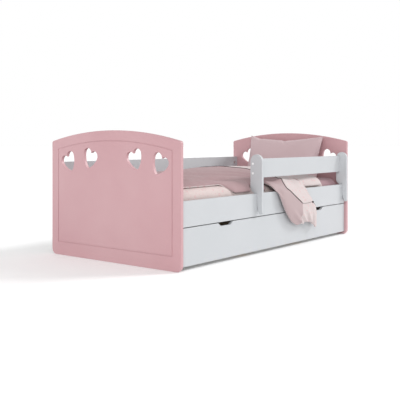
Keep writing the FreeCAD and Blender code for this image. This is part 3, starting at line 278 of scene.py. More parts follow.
def fabric(name, plain, pale, sheen, turned=None):
    """Fine cotton: plain on one side of the border, and on the other side a pale ground with a
    print of small five-petalled flowers and leaves. The print follows the cloth's own flat
    coordinates. turned is a lit copy of the plain side's colour, a painted highlight: where the cloth
    hangs turned over the rail its plain side is painted lighter, as if lit, and on the bed it keeps
    the plain colour."""
    p = Paint(name, plain, 0.88, Sheen_Weight=sheen, Sheen_Roughness=0.5, Specular_IOR_Level=0.25)
    where = p.attribute("cloth", "Vector")
    printed_side = p.ramp(p.attribute("border"), -0.0004, 0.0004)
    petals, heart = flowers(p, where, 19.0, 0.0085)
    buds = flowers(p, p.shifted(where, (0.031, 0.017, 0)), 31.0, 0.0045)[0]
    leaves = p.node("ShaderNodeTexVoronoi", Vector=p.scaled(where, (44.0, 78.0, 1.0)), Scale=1.0)
    leaf = p.ramp(leaves.outputs["Distance"], 0.20, 0.13)
    ground = p.mix(p.ramp(p.noise(where, 9.0, 2.0), 0.35, 0.7), pale, tuple(c - 5 for c in pale))
    print_leaf = p.mix(p.math("MULTIPLY", leaf, 0.5), ground, (188, 184, 176))
    print_bud = p.mix(p.math("MULTIPLY", buds, 0.5), print_leaf, (203, 160, 164))
    print_flower = p.mix(p.math("MULTIPLY", petals, 0.62), print_bud, (202, 154, 161))
    printed = p.mix(p.math("MULTIPLY", heart, 0.8), print_flower, (243, 226, 205))
    # Painted highlight: the plain side runs to the lighter turned colour where the cloth hangs over
    # the rail, as if lit there.
    painted_lit_plain = p.mix(p.attribute("turned"), plain, turned or plain)
    mottled_painted_lit_plain = p.mix(p.math("MULTIPLY", p.noise(where, 7.0, 3.0), 0.25), painted_lit_plain, (150, 118, 122))
    p.colour(p.mix(printed_side, mottled_painted_lit_plain, printed))
    warp = p.wave(where, 520.0, distortion=0.6, axis="X")
    weft = p.wave(where, 520.0, distortion=0.6, axis="Y")
    weave = p.bump(p.math("MAXIMUM", warp, weft), 0.00012, 0.7)
    crumple = p.noise(where, 55.0, 3.0, 0.6)
    p.bump(crumple, 0.0011, 0.6, under=weave)
    return p.material


def flowers(p, where, per_metre, radius):
    """Masks of scattered flowers' petals and of their hearts."""
    cell = p.node("ShaderNodeTexVoronoi", Vector=where, Scale=per_metre, Randomness=0.8)
    offset = p.nodes.new("ShaderNodeVectorMath")
    offset.operation = "SUBTRACT"
    p.links.new(where, offset.inputs[0])
    p.links.new(cell.outputs["Position"], offset.inputs[1])
    split = p.node("ShaderNodeSeparateXYZ", Vector=offset.outputs[0])
    along, beside = split.outputs["X"], split.outputs["Y"]
    reach = p.math("SQRT", p.math("ADD", p.math("MULTIPLY", along, along),
                                  p.math("MULTIPLY", beside, beside)))
    turned = p.math("ADD", p.math("ARCTAN2", beside, along), cell.outputs["Color"])
    lobes = p.math("COSINE", p.math("MULTIPLY", turned, 5.0))
    rim = p.math("MULTIPLY_ADD", lobes, 0.24 * radius, 0.72 * radius)
    petals = p.ramp(p.math("SUBTRACT", rim, reach), -0.0002, 0.0006)
    heart = p.ramp(reach, radius * 0.26, radius * 0.18)
    return petals, heart


# Soft goods. Their places are written as a sewer would measure them: x from the footboard's outer
# face, y from the end panels' front edge, z from the floor.

CORNER = np.array([cad_low[0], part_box("footboard")[0][1], 0.0])


def box_of(node):
    """A node's lowest and highest corners, measured from CORNER."""
    return np.array(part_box(node)) - CORNER


MATTRESS_LOW, MATTRESS_HIGH = box_of("mattress")
RAIL_LOW, RAIL_HIGH = box_of("front_rail")
BOARD_LOW, BOARD_HIGH = box_of("guard_board")
POSTS = [box_of("guard_post_foot"), box_of("guard_post_head")]
DUVET_LOW, DUVET_HIGH = box_of("duvet")
INSIDE_FOOT = box_of("footboard")[1][0]

SHOULDER = 0.06           # the round that the duvet keeps clear of at the mattress's front edge
SHEET_GAP = 0.0022        # how far the sheet lies inside the mattress's box, and the bedding over it
CLEARANCE = 0.002         # what the duvet keeps from the boards
SHEET_PRINT_END = 1.40    # the sheet is printed from the foot up to here
BORDER_REACH = 0.02       # how far from the colours' border its distance is stored
CORD_SIDES = 8            # of the piping's and the seam's section
TRIM_SLOT = 1             # the duvet's second material


def spline(knots, samples):
    """A smooth curve through the knots, sampled at even lengths along itself."""
    knots = np.asarray(knots, float)
    ends = np.vstack([2 * knots[0] - knots[1], knots, 2 * knots[-1] - knots[-2]])
    run = []
    for a, b, c, d in zip(ends, ends[1:], ends[2:], ends[3:]):
        for t in np.linspace(0, 1, 24, endpoint=False):
            run.append(0.5 * (2 * b + (c - a) * t + (2 * a - 5 * b + 4 * c - d) * t ** 2
                              + (3 * b - a - 3 * c + d) * t ** 3))
    run = np.array([*run, knots[-1]])
    steps = np.linalg.norm(np.diff(run, axis=0), axis=1)
    lengths = np.concatenate([[0], np.cumsum(steps)])
    wanted = np.linspace(0, lengths[-1], samples)
    return np.stack([np.interp(wanted, lengths, column) for column in run.T], axis=1)


def ease(value, low, high):
    """0 up to low, 1 from high on, and a smooth step between them."""
    t = np.clip((np.asarray(value, float) - low) / (high - low), 0, 1)
    return t * t * (3 - 2 * t)


def hump(value, centre, width):
    """A bell of height 1 round the centre."""
    return np.exp(-((np.asarray(value, float) - centre) / width) ** 2)


def rough(points, size, seed):
    """Smooth noise at each point, about -1 to 1; size is its lumps' width in metres."""
    shift = Vector((3.1, 7.7, 5.3)) * seed
    flat = np.asarray(points, float).reshape(-1, 3)
    values = [noise.noise(Vector(p / size) + shift) for p in flat]
    return np.array(values).reshape(np.asarray(points).shape[:-1])


def points_of(mesh):
    values = np.empty(len(mesh.vertices) * 3)
    mesh.vertices.foreach_get("co", values)
    return values.reshape(-1, 3)


def set_points(mesh, points):
    mesh.vertices.foreach_set("co", np.asarray(points, float).ravel())
    mesh.update()


def add_layer(mesh, name, values):
    """A value or a vector for each vertex, for the materials to read."""
    values = np.asarray(values, float)
    kind, key = ("FLOAT_VECTOR", "vector") if values.ndim == 2 else ("FLOAT", "value")
    mesh.attributes.new(name, kind, "POINT").data.foreach_set(key, values.ravel())


def layer(mesh, name):
    """The values that add_layer stored, one for each vertex."""
    values = np.empty(len(mesh.vertices))
    mesh.attributes[name].data.foreach_get("value", values)
    return values


def new_piece(name, mesh, *materials):
    """An object with the mesh and its materials, shaded smooth."""
    piece = bpy.data.objects.new(name, mesh)
    bpy.context.collection.objects.link(piece)
    for material in materials:
        mesh.materials.append(material)
    mesh.shade_smooth()
    return piece


def shell(name, upper, lower, cells, **layers):
    """A closed quad skin. upper and lower are grids of points and cells tells which squares of the
    grid are cloth; a wall closes every edge that only one square uses. A layer is one grid of
    values, or a pair of them for the upper and the lower side."""
    rows, columns = upper.shape[:2]
    faces = []
    edges = {}
    for r, c in zip(*np.nonzero(cells)):
        ring = [(r, c), (r + 1, c), (r + 1, c + 1), (r, c + 1)]
        ids = [a * columns + b for a, b in ring]
        faces.append(ids)
        faces.append([i + rows * columns for i in reversed(ids)])
        for a, b in zip(ids, ids[1:] + ids[:1]):
            if (b, a) in edges:
                del edges[b, a]
            else:
                edges[a, b] = True
    for a, b in edges:
        faces.append([b, a, a + rows * columns, b + rows * columns])
    mesh = bpy.data.meshes.new(name)
    both = np.concatenate([upper.reshape(-1, 3), lower.reshape(-1, 3)]) + CORNER
    mesh.from_pydata(both.tolist(), [], faces)
    for key, grid in layers.items():
        over, under = grid if isinstance(grid, tuple) else (grid, grid)
        flat = np.concatenate([g.reshape(rows * columns, -1) for g in (over, under)])
        add_layer(mesh, key, flat if flat.shape[1] > 1 else flat[:, 0])
    work = bmesh.new()
    work.from_mesh(mesh)
    bmesh.ops.delete(work, geom=[v for v in work.verts if not v.link_faces], context="VERTS")
    bmesh.ops.recalc_face_normals(work, faces=work.faces)
    work.to_mesh(mesh)
    work.free()
    return mesh


def puff(piece, pressure, reach, bending, slack=0.0, stiffness=15, frames=20):
    """Fill the piece with air as a cloth bag. slack is how much longer the cloth is cut than it
    lies, which wrinkles it, and no point ends farther than reach from where it began."""
    start = points_of(piece.data)
    cloth = piece.modifiers.new("puff", "CLOTH")
    rules = cloth.settings
    rules.quality = 5
    rules.use_pressure = True
    rules.uniform_pressure_force = pressure
    rules.tension_stiffness = stiffness
    rules.compression_stiffness = stiffness
    rules.shear_stiffness = stiffness / 3
    rules.bending_stiffness = bending
    rules.shrink_min = -slack
    rules.effector_weights.gravity = 0
    cloth.point_cache.frame_start = 1
    cloth.point_cache.frame_end = frames
    scene = bpy.context.scene
    for frame_number in range(1, frames + 1):
        scene.frame_set(frame_number)
    seen = piece.evaluated_get(bpy.context.evaluated_depsgraph_get())
    shift = points_of(seen.data) - start
    piece.modifiers.remove(cloth)
    scene.frame_set(1)
    far = np.linalg.norm(shift, axis=1, keepdims=True)
    shift *= reach * np.tanh(far / reach) / np.maximum(far, 1e-9)
    set_points(piece.data, start + shift)


def subdivide(piece):
    """Split every face in four and smooth the mesh, keeping its layers."""
    smooth = piece.modifiers.new("smooth", "SUBSURF")
    smooth.levels = 1
    depsgraph = bpy.context.evaluated_depsgraph_get()
    seen = piece.evaluated_get(depsgraph)
    mesh = bpy.data.meshes.new_from_object(seen, preserve_all_data_layers=True, depsgraph=depsgraph)
    piece.modifiers.remove(smooth)
    old = piece.data
    piece.data = mesh
    bpy.data.meshes.remove(old)
    mesh.name = piece.name


def edge_roll(x, y):
    """How much the mattress's firm front edge stands up beside the foot end."""
    return 0.009 * (1 - ease(x, 0.38, 0.47)) * (1 - ease(y, 0.09, 0.15))


def shoulder_height(x, y):
    """The mattress's upper surface, clear of its sheet."""
    centre = MATTRESS_LOW[1] + SHOULDER
    reach = np.clip(centre - y, 0, SHOULDER)
    height = MATTRESS_HIGH[2] - SHOULDER + np.sqrt(SHOULDER ** 2 - reach ** 2)
    return height + SHEET_GAP + edge_roll(x, y)


def keep_clear(points, hanging):
    """Push points of the duvet out of the mattress, the rail, the guard and the end panels.
    hanging tells which points may go over the rail; the others stay behind it."""
    x, y, z = (points - CORNER).T
    x = np.maximum(x, INSIDE_FOOT + 2 * CLEARANCE)
    over = (y > MATTRESS_LOW[1]) & (y < MATTRESS_HIGH[1])
    z = np.where(over, np.maximum(z, shoulder_height(x, y)), z)
    front, back, top = RAIL_LOW[1] - CLEARANCE, RAIL_HIGH[1] + CLEARANCE, RAIL_HIGH[2] + CLEARANCE
    y = np.where(~hanging & (z < top), np.maximum(y, back), y)
    inside = hanging & (y > front) & (z < top)
    outwards = inside & (y - front < top - z)
    z = np.where(inside & ~outwards, top, z)
    y = np.where(outwards, front, y)
    board = (y > BOARD_LOW[1] - CLEARANCE) & (y < BOARD_HIGH[1] + CLEARANCE) & (x > BOARD_LOW[0])
    z = np.where(board, np.minimum(z, BOARD_LOW[2] - CLEARANCE), z)
    for low, high in POSTS:
        beside = (x > low[0] - CLEARANCE) & (x < high[0] + CLEARANCE) & (y > 0)
        y = np.where(beside, np.maximum(y, high[1] + CLEARANCE), y)
    return np.stack([x, y, z], axis=1) + CORNER


def near_border(distance):
    """A signed distance from the colours' border, kept short so that it stays smooth."""
    return np.clip(distance, -BORDER_REACH, BORDER_REACH)


def build_mattress(sheet):
    """A foam block in a fitted sheet: rounded edges, a firm front edge near the foot, and the
    sheet's soft creases."""
    low, high = MATTRESS_LOW + SHEET_GAP, MATTRESS_HIGH - SHEET_GAP / 2
    middle = (low + high) / 2
    work = bmesh.new()
    bmesh.ops.create_cube(work, size=1)
    mesh = bpy.data.meshes.new("mattress_sheet")
    work.to_mesh(mesh)
    work.free()
    set_points(mesh, middle + points_of(mesh) * (high - low))
    cut_grid(mesh, 0.0125)
    points = points_of(mesh)
    x, y, z = points.T
    upper = z > middle[2]
    rise = np.where(upper, 0.052, 0.022)
    front = ease(x, 0.52, 0.60) * (y < 0.3) * upper
    radius = (rise * (1 - 0.25 * (1 - front)) + 0.006 * front)[:, None]
    inner = np.clip(points, low + radius, high - radius)
    away = points - inner
    length = np.linalg.norm(away, axis=1, keepdims=True)
    rounded = inner + away / np.maximum(length, 1e-9) * radius
    points = np.where(length > 1e-6, rounded, points)
    points[:, 2] += edge_roll(x, points[:, 1]) * ease(points[:, 2], high[2] - 0.04, high[2])
    crease = rough(points * [1, 1, 3], 0.09, 4) * 0.0016
    crease += rough(points * [3, 3, 1], 0.05, 5) * 0.0009
    inwards = (middle - points) * [0.05, 0.3, 1.0]
    inwards /= np.linalg.norm(inwards, axis=1, keepdims=True)
    points = points + inwards * (0.0016 + crease)[:, None]
    set_points(mesh, points + CORNER)
    add_layer(mesh, "cloth", np.stack([x, y + z, z], axis=1))
    add_layer(mesh, "border", near_border(SHEET_PRINT_END - x))
    piece = new_piece("mattress_sheet", mesh, sheet)
    subdivide(piece)
    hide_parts("mattress")
    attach(piece, "frame")


def cut_grid(mesh, size):
    """Cut a box's faces into squares of about that size."""
    work = bmesh.new()
    work.from_mesh(mesh)
    for axis in range(3):
        values = [v.co[axis] for v in work.verts]
        low, high = min(values), max(values)
        normal = [0, 0, 0]
        normal[axis] = 1
        count = max(2, round((high - low) / size))
        for place in np.linspace(low, high, count + 1)[1:-1]:
            point = [0, 0, 0]
            point[axis] = place
            everything = [*work.verts, *work.edges, *work.faces]
            bmesh.ops.bisect_plane(work, geom=everything, plane_co=point, plane_no=normal)
    work.to_mesh(mesh)
    work.free()


# The duvet lies along the bed, its front edge tucked down behind the rail, and a wide tongue of it
# is pulled out under the guard and hangs over the rail. CROWN is y and z of its upper surface across
# the bed, and the other lines are x, y and z. Below the knob FOLD_BELOW carries on the border
# between the plain and the printed side, as z and x.

CROWN = [(0.806, 0.372), (0.741, 0.397), (0.641, 0.413), (0.498, 0.424), (0.353, 0.418),
         (0.272, 0.411), (0.141, 0.384), (0.085, 0.368)]
TONGUE_FOOT_SIDE = [
    (0.775, 0.085, 0.366), (0.770, 0.055, 0.367), (0.768, 0.020, 0.357), (0.778, -0.001, 0.338),
    (0.803, -0.010, 0.300), (0.835, -0.012, 0.245), (0.876, -0.012, 0.187),
    (0.926, -0.011, 0.138), (0.980, -0.010, 0.112)]
TONGUE_HEAD_SIDE = [
    (1.130, 0.085, 0.364), (1.122, 0.055, 0.362), (1.112, 0.020, 0.351), (1.110, 0.000, 0.332),
    (1.124, -0.010, 0.304), (1.162, -0.012, 0.262), (1.200, -0.012, 0.215),
    (1.219, -0.011, 0.160), (1.222, -0.010, 0.104)]
PIPING = [
    (0.950, 0.796, 0.378), (0.950, 0.741, 0.397), (0.950, 0.641, 0.413), (0.950, 0.498, 0.424),
    (0.950, 0.353, 0.418), (0.950, 0.272, 0.411), (0.948, 0.141, 0.384), (0.938, 0.075, 0.366),
    (0.918, 0.045, 0.362), (0.900, 0.020, 0.354), (0.900, -0.004, 0.325),
    (0.938, -0.014, 0.292), (0.985, -0.014, 0.262), (1.030, -0.014, 0.235)]
KNOB = (1.155, -0.014, 0.234)
SEAM = [(1.030, -0.014, 0.235), (1.090, -0.014, 0.233), KNOB, (1.208, -0.014, 0.212)]
FOLD_BELOW = [(0.180, 1.035), (0.100, 1.015)]
TONGUE_SPAN = (0.768, 1.134)      # the x that the tongue leaves the bed between
SPLIT_HEIGHT = 0.335      # where the hanging corner is cut from the rest, just over the rail
EDGE_Y = 0.085            # where the flat part ends and the front edge begins
CLOTH_STEP = 0.010        # the grid's squares along the bed
MARGIN = 0.004            # what the duvet lies inside its CAD box
ROWS_FLAT = 72            # rows of squares on the bed
ROWS_EDGE = 5             # rows of points down the front edge
ROWS_TONGUE = 42          # rows of squares down the tongue


def crown_height(x, y):
    """The duvet's upper surface: crowned across the bed, lower towards its ends, with long folds
    that fan out from the pulled corner."""
    smooth = spline(CROWN[::-1], 80)
    crown = np.interp(y, smooth[:, 0], smooth[:, 1])
    base = CROWN[0][1]
    ends = 0.30 + 0.70 * np.clip((x - DUVET_LOW[0]) / 0.92, 0, 1)
    ends = ends * (1 - 0.30 * ease(x, 1.05, DUVET_HIGH[0]))
    height = base + (crown - base) * ends
    height += 0.004 * hump(x, 0.22, 0.14) * hump(y, 0.2, 0.12)
    corner_x, corner_y = 0.98, 0.03
    turn = np.arctan2(y - corner_y, corner_x - x)
    reach = np.hypot(y - corner_y, corner_x - x)
    fan = np.sin(turn * 21 + 2.2 * np.sin(reach * 5.0))
    fan_here = ease(reach, 0.06, 0.25) * (1 - ease(reach, 0.55, 0.98)) * (1 - ease(turn, 0.5, 1.3))
    height += 0.0052 * fan * fan_here
    long_fold = np.sin((y - 0.10) * 62 + 5 * x) * (1 - ease(y, 0.16, 0.30))
    height += 0.0055 * long_fold * ease(x, 0.06, 0.2) * (1 - ease(x, 0.5, 0.75))
    lumps = rough(np.stack([x * 0.7, y, 0 * x], axis=-1), 0.10, 2)
    height += 0.0035 * lumps + 0.0016 * rough(np.stack([x, y, 0 * x], axis=-1), 0.045, 7)
    return height


def edge_paths(x):
    """How the front edge runs at x: outer and inner y and z from the flat part to the hem. It lies
    on the mattress near the foot, hangs behind the rail farther on, and keeps behind the guard's
    foot post."""
    lying = ([(0.085, 0.3880), (0.079, 0.3875), (0.073, 0.3855), (0.069, 0.3820), (0.067, 0.3770)],
             [(0.085, 0.3675), (0.081, 0.3670), (0.077, 0.3665), (0.073, 0.3660), (0.070, 0.3670)])
    hanging = ([(0.085, 0.3710), (0.066, 0.3640), (0.050, 0.3520), (0.040, 0.3360), (0.0375, 0.3165)],
               [(0.085, 0.3560), (0.070, 0.3480), (0.058, 0.3340), (0.050, 0.3220), (0.0445, 0.3120)])
    beside = ([(0.085, 0.3710), (0.076, 0.3660), (0.069, 0.3600), (0.0645, 0.3540), (0.0630, 0.3480)],
              [(0.085, 0.3560), (0.078, 0.3525), (0.074, 0.3500), (0.070, 0.3475), (0.0680, 0.3455)])
    drop = ease(x, 0.385, 0.485)
    post = 0.5 * (POSTS[0][0][0] + POSTS[0][1][0])
    pinch = 1 - ease(abs(x - post), 0.011, 0.024)
    mixed = []
    for a, b, c in zip(lying, hanging, beside):
        free = np.array(a) * (1 - drop) + np.array(b) * drop
        mixed.append(free * (1 - pinch) + np.array(c) * pinch)
    return mixed


def lie_on_bed(x_line):
    """The flat part's upper and lower grids, and how full each of its points is: 1 in the middle
    and 0 at the foot, head and far edges."""
    y_line = np.linspace(DUVET_HIGH[1] - MARGIN, EDGE_Y, ROWS_FLAT + 1)
    y, x = np.meshgrid(y_line, x_line, indexing="ij")
    full = np.minimum.reduce([
        ease(x, DUVET_LOW[0] - 0.006, DUVET_LOW[0] + 0.045),
        ease(-x, -DUVET_HIGH[0] - 0.006, -DUVET_HIGH[0] + 0.040),
        ease(-y, -DUVET_HIGH[1] - 0.006, -DUVET_HIGH[1] + 0.045)])
    bed = MATTRESS_HIGH[2] + SHEET_GAP
    hem = 0.016
    top = bed + hem + (crown_height(x, y) - bed - hem) * np.sqrt(full)
    bottom = bed + 0.010 * (1 - full) + edge_roll(x, y)
    return np.stack([x, y, top], axis=2), np.stack([x, y, bottom], axis=2), full


def drop_edge(place, top, full):
    """The front edge's upper and lower points at x = place, from the flat part down to the hem.
    top is the flat part's height there."""
    outer, inner = edge_paths(place)
    height = top - outer[0][1]
    upper, lower = [], []
    for k in range(ROWS_EDGE):
        share = 1 - k / (ROWS_EDGE - 1)
        sway = 0.0022 * math.sin(place * 47) * math.sin(place * 19 + 1) * (1 - share)
        over = outer[k] + [sway, height * share]
        under = inner[k] + [sway * 0.5, 0]
        over = under + (over - under) * (0.45 + 0.55 * full)
        upper.append((place, *over))
        lower.append((place, *under))
    return upper, lower


def hang_tongue(x_line, top, start):
    """The tongue's upper and lower grids, from the flat part down to the hem: a sheet between its
    two sides with folds that gather towards the corner. x_line and top are its first row's x and
    z, and start is the row of the lower grid that it carries on from. s is 0 at the bed and 1 at
    the hem, and t is 0 on the foot side and 1 on the head side."""
    foot_side = spline(TONGUE_FOOT_SIDE, ROWS_TONGUE + 1)
    head_side = spline(TONGUE_HEAD_SIDE, ROWS_TONGUE + 1)
    share = (x_line - x_line[0]) / (x_line[-1] - x_line[0])
    s, t = np.meshgrid(np.linspace(0, 1, ROWS_TONGUE + 1), share, indexing="ij")
    sheet = foot_side[:, None] * (1 - t[..., None]) + head_side[:, None] * t[..., None]
    sheet[0, :, 2] = top
    sheet[0, :, 0] = x_line
    gather = ease(t, 0.30, 0.55) * ease(s, 0.62, 1.0)
    folds = 0.0062 * np.sin(t * 30 + 3.5 * (1 - s)) + 0.0026 * np.sin(t * 61 + 2.0 + 5 * s)
    ridge = 0.0080 * hump(t - 0.28 + 0.25 * (1 - s), 0, 0.055) * ease(s, 0.55, 0.85)
    hollow = 0.0050 * hump(t - 0.40 + 0.20 * (1 - s), 0, 0.05) * ease(s, 0.6, 0.9)
    belly = 0.0045 * np.sin(np.pi * t) * ease(s, 0.30, 0.75)
    sheet[..., 1] -= folds * gather + ridge - hollow + belly - 0.001
    hem_waves = 0.0035 * np.sin(t * 27 + 1.0) * ease(s, 0.8, 1.0) * ease(t, 0.2, 0.5)
    hem_arch = 0.010 * hump(t, 0.55, 0.30) * ease(s, 0.7, 1.0)
    hem_point = 0.018 * hump(t, 0.90, 0.07) * ease(s, 0.86, 1.0)
    root_waves = 0.004 * np.sin(t * 16 + 0.6) * (1 - ease(s, 0.10, 0.40)) * ease(s, 0.0, 0.08)
    sheet[..., 2] += hem_waves
    sheet[..., 2] += hem_arch
    sheet[..., 2] -= hem_point
    sheet[..., 2] += root_waves

    normal = np.cross(np.gradient(sheet, axis=1), np.gradient(sheet, axis=0))
    normal /= np.linalg.norm(normal, axis=2, keepdims=True)
    if normal[ROWS_TONGUE // 2, len(share) // 2, 1] > 0:
        normal = -normal
    thick = 0.010 + 0.009 * ease(np.minimum(t, 1 - t), 0, 0.10)
    thick = thick * (1 - 0.35 * ease(s, 0.85, 1.0))
    under = sheet - normal * thick[..., None]
    under[0] = start
    lead = ease(s, 0, 0.10)[..., None]
    under = (start[None] + (sheet - sheet[0])) * (1 - lead) + under * lead
    return sheet, under


def duvet_grids():
    """Upper and lower grids of the whole duvet, the squares that are cloth, and their layers."""
    columns = round((DUVET_HIGH[0] - DUVET_LOW[0] - 2 * MARGIN) / CLOTH_STEP)
    x_line = np.linspace(DUVET_LOW[0] + MARGIN, DUVET_HIGH[0] - MARGIN, columns + 1)
    first, after = np.searchsorted(x_line, TONGUE_SPAN)
    span = slice(first, after)
    rows = ROWS_FLAT + ROWS_TONGUE
    upper = np.zeros((rows + 1, columns + 1, 3))
    lower = np.zeros_like(upper)
    on_bed = slice(ROWS_FLAT + 1)
    upper[on_bed], lower[on_bed], full = lie_on_bed(x_line)
    top = upper[ROWS_FLAT, :, 2].copy()
    edge = slice(ROWS_FLAT, ROWS_FLAT + ROWS_EDGE)
    for c, place in enumerate(x_line):
        upper[edge, c], lower[edge, c] = drop_edge(place, top[c], full[ROWS_FLAT, c])
    sheet, under = hang_tongue(x_line[span], top[span], lower[ROWS_FLAT, span])
    upper[ROWS_FLAT:, span] = sheet
    lower[ROWS_FLAT:, span] = under

    cells = np.zeros((rows, columns), bool)
    cells[:ROWS_FLAT + ROWS_EDGE - 1] = True
    cells[ROWS_FLAT:, first:after - 1] = True
    cells[ROWS_FLAT:, [first - 1, after - 1]] = False

    tongue = np.zeros(upper.shape[:2])
    tongue[ROWS_FLAT + 1:, span] = 1
    # Painted highlight: how much of the lighter turned colour the plain side gets. It gets none on
    # the bed and all of it a little way down the hanging tongue.
    turned = np.zeros(upper.shape[:2])
    turned[ROWS_FLAT:, span] = ease(np.linspace(0, 1, ROWS_TONGUE + 1)[:, None], 0.04, 0.24)
    step = np.linalg.norm(np.diff(upper, axis=0), axis=2)
    length = np.concatenate([np.zeros((1, columns + 1)), np.cumsum(step, axis=0)])
    flat = np.stack([np.broadcast_to(x_line, length.shape), length, 0 * length], axis=2)
    border = near_border(upper[..., 0] - piping_place(upper))
    sides = (border, np.full_like(border, BORDER_REACH))
    return upper, lower, cells, {"cloth": flat, "tongue": tongue, "border": sides, "turned": turned}


def piping_place(points):
    """The x of the colours' border beside each point: along the piping, then down the fold."""
    lie = np.array([(y, x) for x, y, z in PIPING if y > 0.0])
    hang = np.array([(z, x) for x, y, z in PIPING if y <= 0.0] + FOLD_BELOW)
    lie, hang = lie[np.argsort(lie[:, 0])], hang[np.argsort(hang[:, 0])]
    x, y, z = np.moveaxis(points, -1, 0)
    on_bed = np.interp(y, lie[:, 0], lie[:, 1])
    over_rail = np.interp(z, hang[:, 0], hang[:, 1])
    return np.where(y > 0.002, on_bed, over_rail)


def tube(name, path, radius, **layers):
    """A round cord along the path, with closed ends."""
    path = np.asarray(path, float)
    tangent = np.gradient(path, axis=0)
    tangent /= np.linalg.norm(tangent, axis=1, keepdims=True)
    never_along = (0.31, -0.52, 0.80)
    aside = np.cross(tangent, never_along)
    aside /= np.linalg.norm(aside, axis=1, keepdims=True)
    over = np.cross(tangent, aside)
    turn = np.linspace(0, 2 * math.pi, CORD_SIDES, endpoint=False)[None, :, None]
    ring = np.cos(turn) * aside[:, None] + np.sin(turn) * over[:, None]
    points = (path[:, None] + radius * ring).reshape(-1, 3)
    faces = []
    for r in range(len(path) - 1):
        for c in range(CORD_SIDES):
            a, b = r * CORD_SIDES + c, r * CORD_SIDES + (c + 1) % CORD_SIDES
            faces.append([a, b, b + CORD_SIDES, a + CORD_SIDES])
    faces.append(list(reversed(range(CORD_SIDES))))
    faces.append(list(range(len(points) - CORD_SIDES, len(points))))
    return trimming(name, points, faces, **layers)


def trimming(name, points, faces, **layers):
    """A mesh of the trim's material, with the same layers as the cloth that it is joined to."""
    mesh = bpy.data.meshes.new(name)
    mesh.from_pydata(np.asarray(points).tolist(), [], faces)
    work = bmesh.new()
    work.from_mesh(mesh)
    bmesh.ops.recalc_face_normals(work, faces=work.faces)
    for face in work.faces:
        face.material_index = TRIM_SLOT
        face.smooth = True
    work.to_mesh(mesh)
    work.free()
    count = len(mesh.vertices)
    add_layer(mesh, "cloth", np.zeros((count, 3)))
    add_layer(mesh, "turned", np.zeros(count))
    for key, value in layers.items():
        add_layer(mesh, key, np.broadcast_to(value, count))
    return mesh


def on_surface(mesh, knots, samples, lift):
    """The knots' curve laid on the mesh: its nearest points, evened out, raised by lift."""
    tree = BVHTree.FromPolygons([v.co for v in mesh.vertices], [p.vertices for p in mesh.polygons])
    laid = []
    for point in spline(knots, samples) + CORNER:
        place, normal = tree.find_nearest(Vector(point))[:2]
        laid.append(place + normal * lift)
    laid = np.array(laid)
    for _ in range(3):
        laid[1:-1] = (laid[:-2] + 2 * laid[1:-1] + laid[2:]) / 4
    return laid


def joined(name, *meshes):
    """One mesh made of several, which keep their layers."""
    work = bmesh.new()
    for mesh in meshes:
        work.from_mesh(mesh)
    whole = bpy.data.meshes.new(name)
    work.to_mesh(whole)
    work.free()
    return whole


def of_tongue(work):
    """The faces that lie wholly on the tongue."""
    tongue = work.verts.layers.float["tongue"]
    return [f for f in work.faces if all(v[tongue] > 0.5 for v in f.verts)]


def split_at(mesh, height):
    """Cut the tongue level with height. Returns what lies on the bed and what hangs, both closed,
    and each keeps the uncut cloth's shading where they meet."""
    work = bmesh.new()
    work.from_mesh(mesh)
    faces = of_tongue(work)
    parts = {*faces, *(e for f in faces for e in f.edges), *(v for f in faces for v in f.verts)}
    ordered = [g for kind in (work.verts, work.edges, work.faces) for g in kind if g in parts]
    bmesh.ops.bisect_plane(work, geom=ordered, plane_co=(0, 0, height), plane_no=(0, 0, 1))
    work.normal_update()
    shading = {tuple(np.round(v.co, 6)): v.normal.copy() for v in work.verts}
    work.faces.index_update()
    below = {f.index for f in of_tongue(work) if f.calc_center_median().z < height}
    pieces = []
    for keep_below in (False, True):
        part = work.copy()
        part.faces.ensure_lookup_table()
        drop = [f for f in part.faces if (f.index in below) != keep_below]
        bmesh.ops.delete(part, geom=drop, context="FACES")
        rim = [e for e in part.edges if len(e.link_faces) == 1]
        made = bmesh.ops.holes_fill(part, edges=rim, sides=0)
        bmesh.ops.triangulate(part, faces=made["faces"])
        piece = bpy.data.meshes.new(mesh.name)
        part.to_mesh(piece)
        part.free()
        normals = [shading[tuple(np.round(v.co, 6))] for v in piece.vertices]
        piece.normals_split_custom_set_from_vertices(normals)
        pieces.append(piece)
    work.free()
    return pieces


def ball(place, radius):
    """Points and faces of a covered knob, a little flattened."""
    work = bmesh.new()
    bmesh.ops.create_uvsphere(work, u_segments=20, v_segments=12, radius=radius)
    points = np.array([v.co[:] for v in work.verts]) * [1, 0.75, 1] + place
    faces = [[v.index for v in f.verts] for f in work.faces]
    work.free()
    return points, faces


def clear_cloth(mesh):
    """Keep the duvet's mesh out of what it lies on."""
    set_points(mesh, keep_clear(points_of(mesh), layer(mesh, "tongue") > 0.25))


def cord_side(line):
    """1 for each point of the cord that is on the tongue, 0 for those on the rest of the bed."""
    return np.repeat((line[:, 1] - CORNER[1] < 0.07).astype(float), CORD_SIDES)


